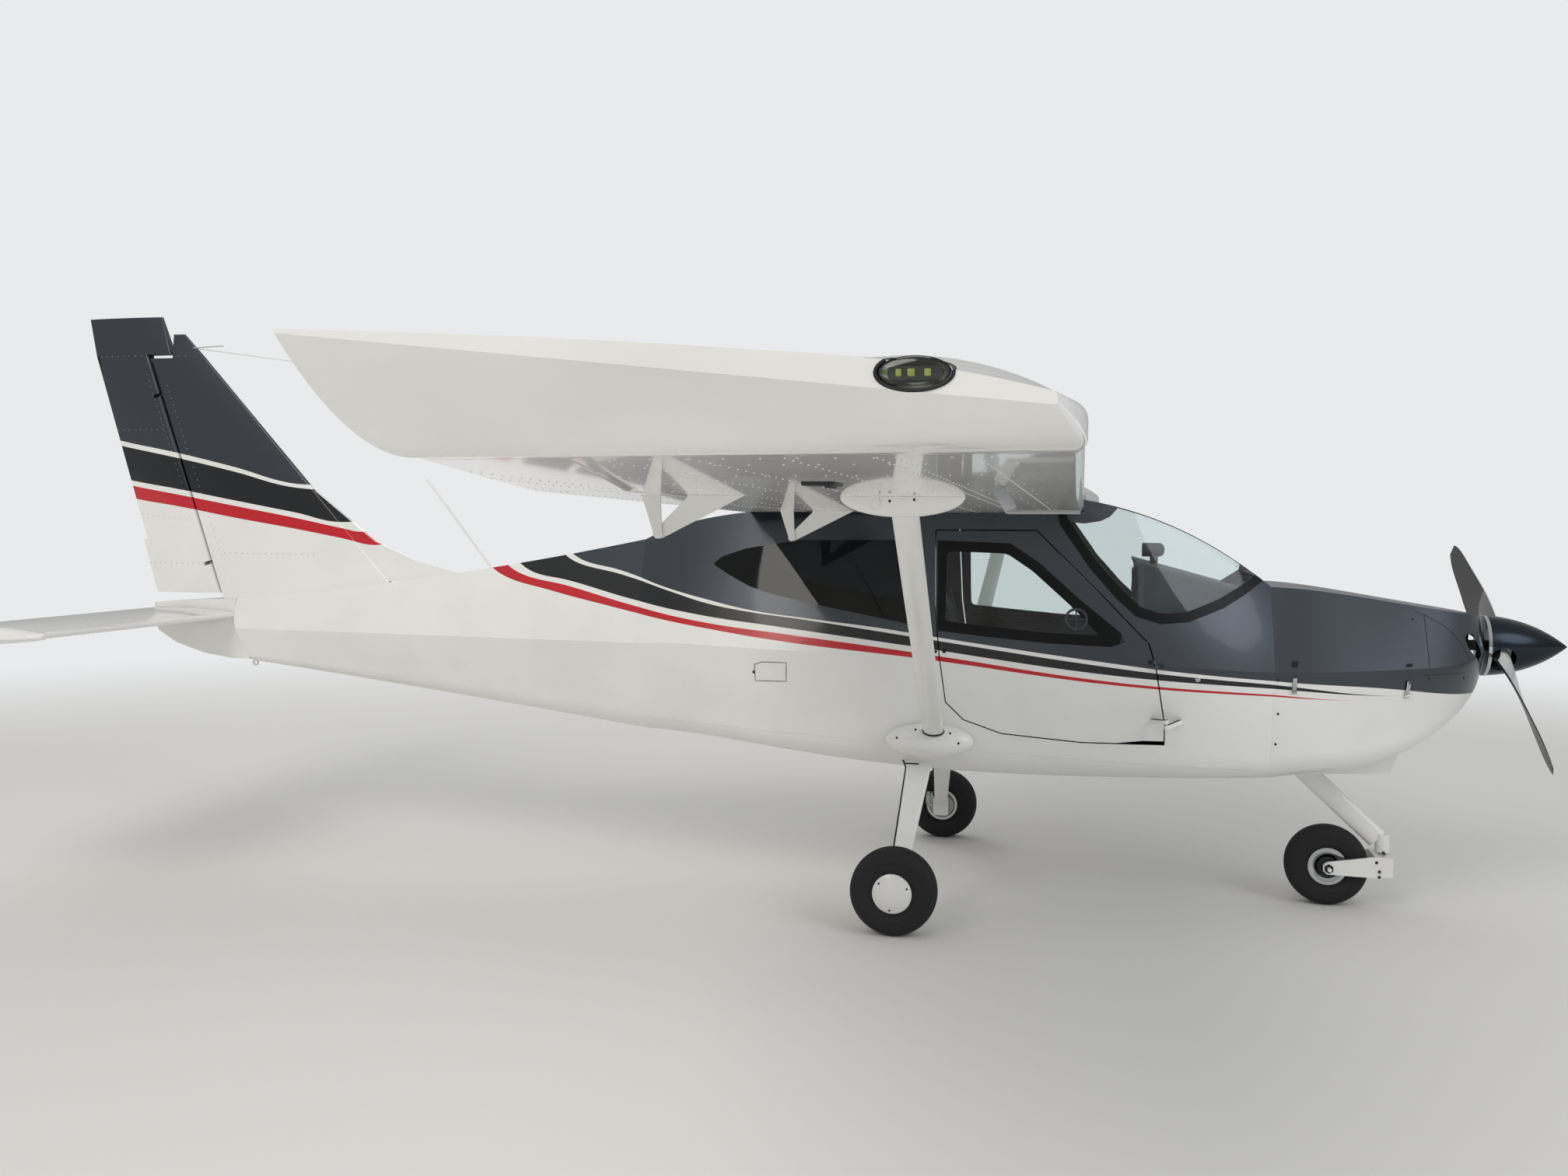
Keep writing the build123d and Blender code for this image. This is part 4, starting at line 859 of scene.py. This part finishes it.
yokes = {"x": 1.60, "z": 1.205, "ys": (0.232, -0.232), "reach": 0.115}
bm = bmesh.new()
for y in yokes["ys"]:
    hub = Vector((yokes["x"], y, yokes["z"]))
    addCone(bm, hub, (1.775, y, yokes["z"] + 0.015), 0.013, 0.013, 20)
    addBlock(bm, hub, (0.030, 0.085, 0.050), 0.010)
    for way in (1, -1):
        grip = [
            hub + Vector((0, way * 0.03, -0.01)), hub + Vector((-0.01, way * 0.085, -0.022)),
            hub + Vector((-0.014, way * yokes["reach"], 0.0)),
            hub + Vector((-0.016, way * 0.122, 0.045)), hub + Vector((-0.012, way * 0.108, 0.088)),
        ]
        addTubes(bm, [grip], 0.011)
putPiece("yokes", bm, blackTrim, "airframe")
bm = bmesh.new()
for y in (0.33, 0.14, -0.14, -0.33):
    addBlock(bm, (2.12, y, 0.745), (0.012, 0.075, 0.085), 0.004,
             Matrix.Rotation(-0.35, 4, "Y"))
    addTubes(bm, [[(2.12, y, 0.745), (2.16, y, 0.69), (2.17, y, 0.65)]], 0.008)
putPiece("pedals", bm, alloySheet, "airframe")
bm = bmesh.new()
addBlock(bm, (1.33, 0, 0.665), (0.62, 0.10, 0.05), 0.012)
addTubes(bm, [[(1.36, 0.0, 0.69), (1.34, 0.0, 0.74), (1.30, 0.0, 0.79)]], 0.007)
addBlock(bm, (1.292, 0.0, 0.80), (0.028, 0.028, 0.05), 0.009)
putPiece("centreConsole", bm, blackTrim, "airframe")
print("stage: cabin fitted")

# Seams, screws and small fittings on the fuselage
cabin = ("cabin_shell", "belly_skin", "door_left", "door_right", "tail_cone")
cowl = ("cowl_upper", "cowl_lower")
hull = {
    "seamR": 0.0016,
    "cabinSeams": [
        [(0.188, 1.019), (0.224, 1.031), (0.330, 1.031), (0.325, 0.949), (0.186, 0.947),
         (0.188, 1.019)],
    ],
    "cowlSeams": [
        [(2.880, 1.262), (2.881, 1.20), (2.882, 1.10), (2.883, 1.032)],
        [(2.862, 1.030), (3.035, 1.034)],
    ],
    "frontRing": [
        (2.845, 1.272), (2.885, 1.260), (2.922, 1.239), (2.955, 1.219), (2.981, 1.196),
        (3.005, 1.170), (3.024, 1.141), (3.042, 1.112), (3.053, 1.087),
    ],
    "cabinScrews": [(0.182, 0.985), (0.964, 1.097)],
    "cowlScrews": [
        (2.302, 1.008), (2.309, 0.871), (2.306, 0.745), (2.883, 1.017), (3.035, 1.010),
        (2.833, 1.245),
    ],
    "latches": [(2.364, 1.087, 0.953), (2.800, 1.078, 0.935)],
    "footScrews": [(0.805, 0.735), (0.882, 0.772), (1.025, 0.762), (1.060, 0.722)],
}
for word, way in sides:
    bm = bmesh.new()
    runs = [sideRun(cabin, run, way) for run in hull["cabinSeams"]]
    runs += [sideRun(cowl, run, way) for run in hull["cowlSeams"]]
    runs.append(sideRun(cowl, hull["frontRing"], way, 0.012))
    addTubes(bm, [run for run in runs if len(run) > 1], hull["seamR"])
    putPiece(f"panelSeams{word}", bm, seamDark, "airframe")
    bm = bmesh.new()
    addScrews(bm, [onSide(cabin, x, z, way) for x, z in hull["cabinScrews"]], 0.007, 0.003)
    addScrews(bm, [onSide(cowl, x, z, way) for x, z in hull["cowlScrews"]], 0.0055, 0.0025)
    feet = [onSide(("strut_fairings",), x, z, way) for x, z in hull["footScrews"]]
    addScrews(bm, feet, 0.0055, 0.002)
    putPiece(f"sideScrews{word}", bm, darkSteel, "airframe")
    bm = bmesh.new()
    chrome = bmesh.new()
    for x, top, low in hull["latches"]:
        spots = [onSide(cowl, x, z, way) for z in (top, (top + low) / 2, low)]
        if None in spots:
            continue
        (high, highOut), (mid, out), (bottom, _) = spots
        along = (high - bottom).normalized()
        reach = (high - bottom).length
        flat = (along - out * along.dot(out)).normalized()
        lie = Matrix((out.cross(flat), out, flat)).transposed()
        addBlock(bm, high.lerp(mid, 0.5) + out * 0.001, (0.024, 0.003, reach * 0.52), 0.001,
                 lie.to_4x4())
        addBlock(chrome, mid.lerp(bottom, 0.35) + out * 0.006, (0.017, 0.006, reach * 0.40),
                 0.002, lie.to_4x4())
        pivot = mid.lerp(bottom, 0.86) + out * 0.002
        across = out.cross(flat) * 0.010
        addCone(chrome, pivot - across, pivot + across, 0.006, 0.006, 12)
        for share in (0.04, 0.20, 0.36):
            for shift in (-0.006, 0.006):
                spot = high.lerp(bottom, share) + Vector((shift, 0, 0)) + highOut * 0.002
                addScrews(chrome, [(spot, highOut)], 0.0025, 0.0015, 8)
    putPiece(f"latchPlates{word}", bm, darkSteel, "airframe")
    putPiece(f"latchLevers{word}", chrome, polishedAlloy, "airframe")
    bm = bmesh.new()
    addScrews(bm, [onSide(cabin, 1.997, 1.007, way)], 0.012, 0.0015, 24)
    putPiece(f"staticPort{word}", bm, polishedAlloy, "airframe")
    bm = bmesh.new()
    addScrews(bm, [onSide((f"door_{word.lower()}",), 0.999, 1.100, way)], 0.009, 0.003, 20)
    putPiece(f"doorLock{word}", bm, darkSteel, f"door_{word.lower()}")
    bm = bmesh.new()
    addScrews(bm, [onSide(cabin, 0.871, 1.113, way)], 0.009, 0.003, 20)
    putPiece(f"rearLock{word}", bm, darkSteel, "airframe")
    glass = (f"door_glass_{word.lower()}",)
    hit = onSide(glass, 1.523, 1.238, way)
    if hit:
        place, out = hit
        bm = bmesh.new()
        across = out.orthogonal().normalized()
        addSpin(bm, [(0.036, -0.009), (0.045, -0.009), (0.046, 0.003), (0.042, 0.006), (0.036, 0.003)],
                place, out, across, 36)
        addBlock(bm, place, (0.072, 0.004, 0.006), 0.001, turned((0, 0, 0), out))
        addBlock(bm, place, (0.006, 0.072, 0.004), 0.001, turned((0, 0, 0), out))
        addScrews(bm, [(place, out)], 0.008, 0.009, 16)
        putPiece(f"windowVent{word}", bm, greyTrim, f"door_{word.lower()}")

# Rubber ring where each strut enters its lower fairing
for word, way in sides:
    foot, top = Vector((0.955, way * 0.560, 0.745)), Vector((1.065, way * 2.300, 1.70))
    along = (top - foot).normalized()
    middle = foot + along * 0.055
    run = []
    for step in range(28):
        turn = step / 28 * 2 * math.pi
        out = Vector((math.cos(turn), 0, 0)) * 0.16 + along.cross(Vector((1, 0, 0))) * math.sin(turn) * 0.16
        hit = castOn(("struts",), middle + out, -out, 0.0015)
        if hit:
            run.append(hit[0])
    bm = bmesh.new()
    addTubes(bm, [run], 0.0045, True)
    putPiece(f"strutRing{word}", bm, beltWeb, "airframe")
print("stage: fuselage fittings made")

# Rivets and panel lines of the metal wings and tail
riveting = {
    "pitch": 0.062,
    "radius": 0.0030,
    "height": 0.0013,
    "wingRows": (1.43, 1.30, 1.27, 1.12, 0.96, 0.80, 0.64, 0.50),
    "ribs": (0.62, 1.00, 1.38, 1.76, 2.14, 2.52, 2.74, 3.12, 3.50, 3.88, 4.05),
    "flapRows": (0.385, 0.330, 0.185),
    "aileronRows": (0.40, 0.33, 0.20),
}


def rivetPiece(name, spots, body, material):
    spots = [spot for spot in spots if spot]
    bm = bmesh.new()
    for place, normal in spots:
        addCone(bm, place - normal * 0.0006, place + normal * riveting["height"],
                riveting["radius"], riveting["radius"] * 0.5, 6)
    putPiece(name, bm, material, body, 60)


def stepped(low, high, step):
    return [low + index * step for index in range(int((high - low) / step) + 1)]


def gridSpots(names, xs, ys):
    return [
        castOn(names, (x, y, 1.8 + up * 0.8), (0, 0, -up))
        for x in xs for y in ys for up in (-1, 1)
    ]


pitch = riveting["pitch"]
for word, way in sides:
    low = word.lower()
    names = (f"wing_{low}",)
    rivetPiece(
        f"wingRivets{word}",
        gridSpots(names, riveting["wingRows"], [way * y for y in stepped(0.52, 4.09, pitch)])
        + gridSpots(names, stepped(0.52, 1.46, pitch), [way * y for y in riveting["ribs"]]),
        "airframe", rivetHeads,
    )
    for part, rows, inner, outer in (
        ("flap", "flapRows", 0.66, 2.70), ("aileron", "aileronRows", 2.80, 4.06),
    ):
        ys = [way * y for y in stepped(inner, outer, pitch * 0.8)]
        rivetPiece(
            f"{part}Rivets{word}", gridSpots((f"{part}_{low}",), riveting[rows], ys),
            f"{part}_{low}", rivetHeads,
        )


def flatSpots(names, runs, step, axis):
    spots = []
    for run in runs:
        for point in spread(run, step):
            for way in (1, -1):
                if axis == "z":
                    start, towards = (point[0], point[1], 1.145 + way * 0.3), (0, 0, -way)
                else:
                    start, towards = (point[0], way * 0.6, point[1]), (0, -way, 0)
                spots.append(castOn(names, start, towards))
    return spots


tailRuns = {
    "rudder": [
        [(-3.455, 2.455), (-3.17, 2.455)], [(-3.138, 2.36), (-2.90, 1.68)],
        [(-3.30, 1.66), (-2.89, 1.62)], [(-3.16, 1.40), (-2.82, 1.40)],
        [(-3.40, 2.08), (-3.05, 2.08)],
    ],
    "fin": [
        [(-3.075, 2.325), (-2.79, 1.44)], [(-3.02, 2.30), (-2.72, 1.44)],
        [(-2.70, 1.455), (-2.20, 1.45)], [(-3.07, 2.452), (-2.92, 2.452)],
    ],
    "stabilator": [
        [(x, way * 0.14), (x, way * 1.34)] for way in (1, -1) for x in (-2.70, -2.80, -3.20)
    ],
}
for part, step, axis, body, material in (
    ("rudder", 0.034, "y", "rudder", rivetDark), ("fin", 0.034, "y", "airframe", rivetDark),
    ("stabilator", 0.05, "z", "stabilator", rivetHeads),
):
    spots = flatSpots((part,), tailRuns[part], step, axis)
    rivetPiece(f"{part}Rivets", spots, body, material)
print("stage: riveted")

# Wing tip lights: gasket, reflector, diode board and lens
lamps = {
    "centre": (1.373, 4.400, 1.836),
    "halves": (0.050, 0.022),
    "bowl": [(0.96, -0.004), (0.90, -0.012), (0.66, -0.021), (0.30, -0.026), (0.0, -0.027),
             (0.0, -0.029), (0.34, -0.028), (0.72, -0.023), (0.96, -0.014), (0.985, -0.004)],
    "lens": [(0.0, -0.0002), (0.45, -0.0008), (0.80, -0.0026), (0.96, -0.0060), (0.99, -0.014),
             (0.96, -0.014), (0.93, -0.0078), (0.78, -0.0044), (0.44, -0.0026), (0.0, -0.0020)],
}
for word, way in sides:
    x, y, z = lamps["centre"]
    centre = Vector((x, way * y, z))
    fit = Matrix.Translation(centre) @ Matrix.Diagonal((lamps["halves"][0], 1, lamps["halves"][1], 1))
    for part, material, profile in (
        ("lightReflector", polishedAlloy, "bowl"), ("lightLens", lensGlass, "lens"),
    ):
        bm = bmesh.new()
        addSpin(bm, lamps[profile], (0, 0, 0), (0, way, 0), steps=40, closed=False)
        bmesh.ops.transform(bm, matrix=fit, verts=bm.verts[:])
        piece = putPiece(f"{part}{word}", bm, material, "airframe", 40)
        if part == "lightLens":
            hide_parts("wing_lights")
    bm = bmesh.new()
    glow = bmesh.new()
    for shift, width in ((-0.022, 0.008), (-0.005, 0.010), (0.017, 0.009)):
        addBlock(glow, centre + Vector((shift, way * -0.014, 0.0)), (width, 0.006, 0.010), 0.0015)
    addBlock(bm, centre + Vector((0, way * -0.019, 0)), (0.072, 0.005, 0.018), 0.001)
    putPiece(f"lightBoard{word}", bm, blackTrim, "airframe")
    putPiece(f"lightDiodes{word}", glow, diode, "airframe")
    ring = []
    for step in range(36):
        turn = step / 36 * 2 * math.pi
        hit = castOn(("wing_tips",), (x + 0.0525 * math.cos(turn), way * 4.6,
                                      z + 0.0245 * math.sin(turn)), (0, -way, 0))
        if hit:
            ring.append(hit[0])
    bm = bmesh.new()
    addTubes(bm, [ring], 0.0028, True)
    putPiece(f"lightGasket{word}", bm, blackRubber, "airframe")
print("stage: lights made")

# The pitot probe: a thin tube on a slim mast, inside the CAD outline
bm = bmesh.new()
addTubes(bm, [[(1.570, -3.0, 1.657), (1.405, -3.0, 1.657)]], 0.0055)
addBlock(bm, (1.400, -3.0, 1.685), (0.030, 0.006, 0.058), 0.002,
         Matrix.Rotation(-0.55, 4, "Y"))
probe = putPiece("pitotTube", bm, machinedSteel, "airframe")
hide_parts("pitot_probe")

# Fittings on the wings, fork, spinner and belly
bm = bmesh.new()
for way in (1, -1):
    hit = castOn((f"wing_{'left' if way == 1 else 'right'}",), (1.02, way * 1.25, 2.6), (0, 0, -1))
    if hit:
        addSpin(bm, [(0.0, 0.006), (0.022, 0.006), (0.034, 0.004), (0.037, 0.0), (0.037, -0.003),
                     (0.0, -0.003)], hit[0], hit[1], hit[1].orthogonal().normalized(), 32, False)
        addBlock(bm, hit[0] + Vector((0, 0, 0.008)), (0.040, 0.007, 0.006), 0.002)
putPiece("fuelCaps", bm, polishedAlloy, "airframe")
bm = bmesh.new()
for way in (1, -1):
    hit = castOn((f"wing_{'left' if way == 1 else 'right'}",), (1.01, way * 3.2, 1.0), (0, 0, 1))
    if hit:
        addBlock(bm, hit[0] - Vector((0, 0, 0.003)), (0.075, 0.105, 0.010), 0.003)
        addBlock(bm, hit[0] - Vector((-0.02, 0, 0.008)), (0.012, 0.09, 0.010), 0.002)
putPiece("wingVents", bm, blackTrim, "airframe")
bm = bmesh.new()
hit = castOn(("wing_right",), (2.2, -0.95, 1.735), (-1, 0, 0))
if hit:
    addBlock(bm, hit[0] + Vector((0.004, 0, 0)), (0.016, 0.020, 0.003), 0.001)
putPiece("stallTab", bm, polishedAlloy, "airframe")
bm = bmesh.new()
for x, z in ((2.772, 0.168), (2.760, 0.206), (2.772, 0.145)):
    hit = [onSide(("nose_fork",), x, z, way) for way in (1, -1)]
    addScrews(bm, hit, 0.0075, 0.005, 6)
for way in (1, -1):
    addCone(bm, (2.572, way * 0.0855, 0.170), (2.572, way * 0.096, 0.170), 0.019, 0.019, 6)
addCone(bm, (2.795, -0.052, 0.238), (2.795, 0.052, 0.238), 0.006, 0.006, 6)
putPiece("forkBolts", bm, darkSteel, "nose_fork")
bm = bmesh.new()
addSpin(bm, [(0.1252, 0.0), (0.1262, 0.0), (0.1262, 0.013), (0.1250, 0.013)], (3.159, 0, 1.122),
        (1, 0, 0), steps=72)
for step in range(12):
    turn = math.radians(step * 30 + 15)
    out = Vector((0, math.cos(turn), math.sin(turn)))
    addScrews(bm, [(Vector((3.1655, 0, 1.122)) + out * 0.126, out)], 0.0038, 0.0012, 10)
putPiece("spinnerRing", bm, polishedAlloy, "propeller")
bm = bmesh.new()
for x, y, size in ((0.69, 0.0, (0.060, 0.030, 0.040)), (-0.185, 0.0, (0.110, 0.030, 0.020))):
    hit = castOn(("belly_skin",), (x, y, 0.2), (0, 0, 1))
    if hit:
        addBlock(bm, hit[0] - Vector((0, 0, size[2] * 0.35)), size, min(size) * 0.3)
addTubes(bm, [[(2.245, 0.16, 0.66), (2.20, 0.17, 0.585), (2.13, 0.175, 0.545)]], 0.024)
putPiece("bellyFittings", bm, darkSteel, "airframe")
bm = bmesh.new()
for way in (1, -1):
    for x, z in ((1.000, 1.690), (1.030, 1.690), (1.100, 1.694)):
        hit = onSide(("strut_fairings",), x, z, way)
        addScrews(bm, [hit], 0.0045, 0.002)
    hit = castOn(("main_legs",), (0.852, way * 3, 0.610), (0, -way, 0), 0.001)
    if hit:
        addBlock(bm, hit[0], (0.062, 0.004, 0.006), 0.0015,
                 turned((0, 0, 0), hit[1]) @ Matrix.Rotation(math.pi / 2, 4, "X"))
putPiece("strutScrews", bm, darkSteel, "airframe")
print("stage: fittings made")

# Camera, floor and light
shot = {
    "place": (1.6178, -6.2298, 1.6435),
    "yaw": 0.2252,
    "pitch": -0.0511,
    "roll": 0.0032,
    "lens": 31.797,
}


def makeCamera():
    data = bpy.data.cameras.new("shot")
    data.lens = shot["lens"]
    data.sensor_width = 36
    data.sensor_fit = "HORIZONTAL"
    data.clip_end = 200
    camera = bpy.data.objects.new("shot", data)
    bpy.context.scene.collection.objects.link(camera)
    turn = (
        Matrix.Rotation(shot["yaw"], 4, "Z")
        @ Matrix.Rotation(math.pi / 2 + shot["pitch"], 4, "X")
        @ Matrix.Rotation(shot["roll"], 4, "Z")
    )
    camera.matrix_world = Matrix.Translation(shot["place"]) @ turn
    bpy.context.scene.camera = camera


makeCamera()

studio = {
    "floorColour": "#E3E2DF",
    "fade": (5.5, 12.0),
    "worldColour": "#F2F3F4",
    "backdrop": 0.92,  # strength that the camera sees, below the 1 that is white
    "horizon": 0.34,
    "zenith": 0.62,
    "lamps": [  # name, place, aim, size, power, colour
        ("key", (-2.5, -9.5, 8.5), (0, 0, 1.2), 6.0, 430.0, "#FFF9F0"),
        ("fill", (9.0, -6.0, 6.0), (1, 0, 1.0), 6.0, 220.0, "#F3F7FF"),
        ("back", (-5.0, 8.0, 8.0), (0, 0, 1.2), 6.0, 230.0, "#FFFFFF"),
    ],
}


def makeStudio():
    bm = bmesh.new()
    bmesh.ops.create_grid(bm, x_segments=2, y_segments=2, size=60)
    mesh = bpy.data.meshes.new("studioFloor")
    bm.to_mesh(mesh)
    bm.free()
    floor = bpy.data.objects.new("studioFloor", mesh)
    bpy.context.scene.collection.objects.link(floor)
    material, tree, shader = startMaterial("paleFloor", {"Roughness": 0.9})
    shader.inputs["Base Color"].default_value = linearColour(studio["floorColour"])
    away = addNode(tree, "ShaderNodeVectorMath", {0: objectCoords(tree)}, operation="LENGTH")
    near, far = studio["fade"]
    fade = addNode(
        tree, "ShaderNodeMapRange",
        {"Value": away.outputs["Value"], "From Min": near, "From Max": far},
        interpolation_type="SMOOTHSTEP",
    )
    glow = addNode(
        tree, "ShaderNodeEmission",
        {"Color": linearColour(studio["worldColour"]), "Strength": studio["backdrop"]},
    )
    mixed = addNode(
        tree, "ShaderNodeMixShader",
        {0: fade.outputs["Result"], 1: shader.outputs["BSDF"], 2: glow.outputs["Emission"]},
    )
    output = [node for node in tree.nodes if node.type == "OUTPUT_MATERIAL"][0]
    tree.links.new(mixed.outputs["Shader"], output.inputs["Surface"])
    mesh.materials.append(material)
    world = bpy.data.worlds.new("softRoom")
    world.use_nodes = True
    tree = world.node_tree
    tree.nodes.clear()
    path = addNode(tree, "ShaderNodeLightPath")
    seen = joinMask(
        tree, "MAXIMUM", path.outputs["Is Camera Ray"], path.outputs["Is Transmission Ray"]
    )
    incoming = addNode(tree, "ShaderNodeNewGeometry").outputs["Incoming"]
    height = addNode(tree, "ShaderNodeSeparateXYZ", {"Vector": incoming}).outputs["Z"]
    room = addNode(
        tree, "ShaderNodeMapRange",
        {"Value": joinMask(tree, "MULTIPLY", height, -1.0), "From Min": -0.05, "From Max": 0.7,
         "To Min": studio["horizon"], "To Max": studio["zenith"]},
    )
    strength = addNode(
        tree, "ShaderNodeMix", {0: seen, 2: room.outputs["Result"], 3: studio["backdrop"]}
    )
    sky = addNode(
        tree, "ShaderNodeBackground",
        {"Color": linearColour(studio["worldColour"]), "Strength": strength.outputs["Result"]},
    )
    addNode(tree, "ShaderNodeOutputWorld", {"Surface": sky.outputs["Background"]})
    bpy.context.scene.world = world
    for name, place, aim, size, power, code in studio["lamps"]:
        data = bpy.data.lights.new(name, "AREA")
        data.shape = "DISK"
        data.size = size
        data.energy = power
        data.color = linearColour(code)[:3]
        lamp = bpy.data.objects.new(name, data)
        bpy.context.scene.collection.objects.link(lamp)
        towards = (Vector(aim) - Vector(place)).to_track_quat("-Z", "Y")
        lamp.matrix_world = Matrix.Translation(place) @ towards.to_matrix().to_4x4()
    bpy.context.scene.view_settings.view_transform = "Standard"


makeStudio()
print("stage: studio made")
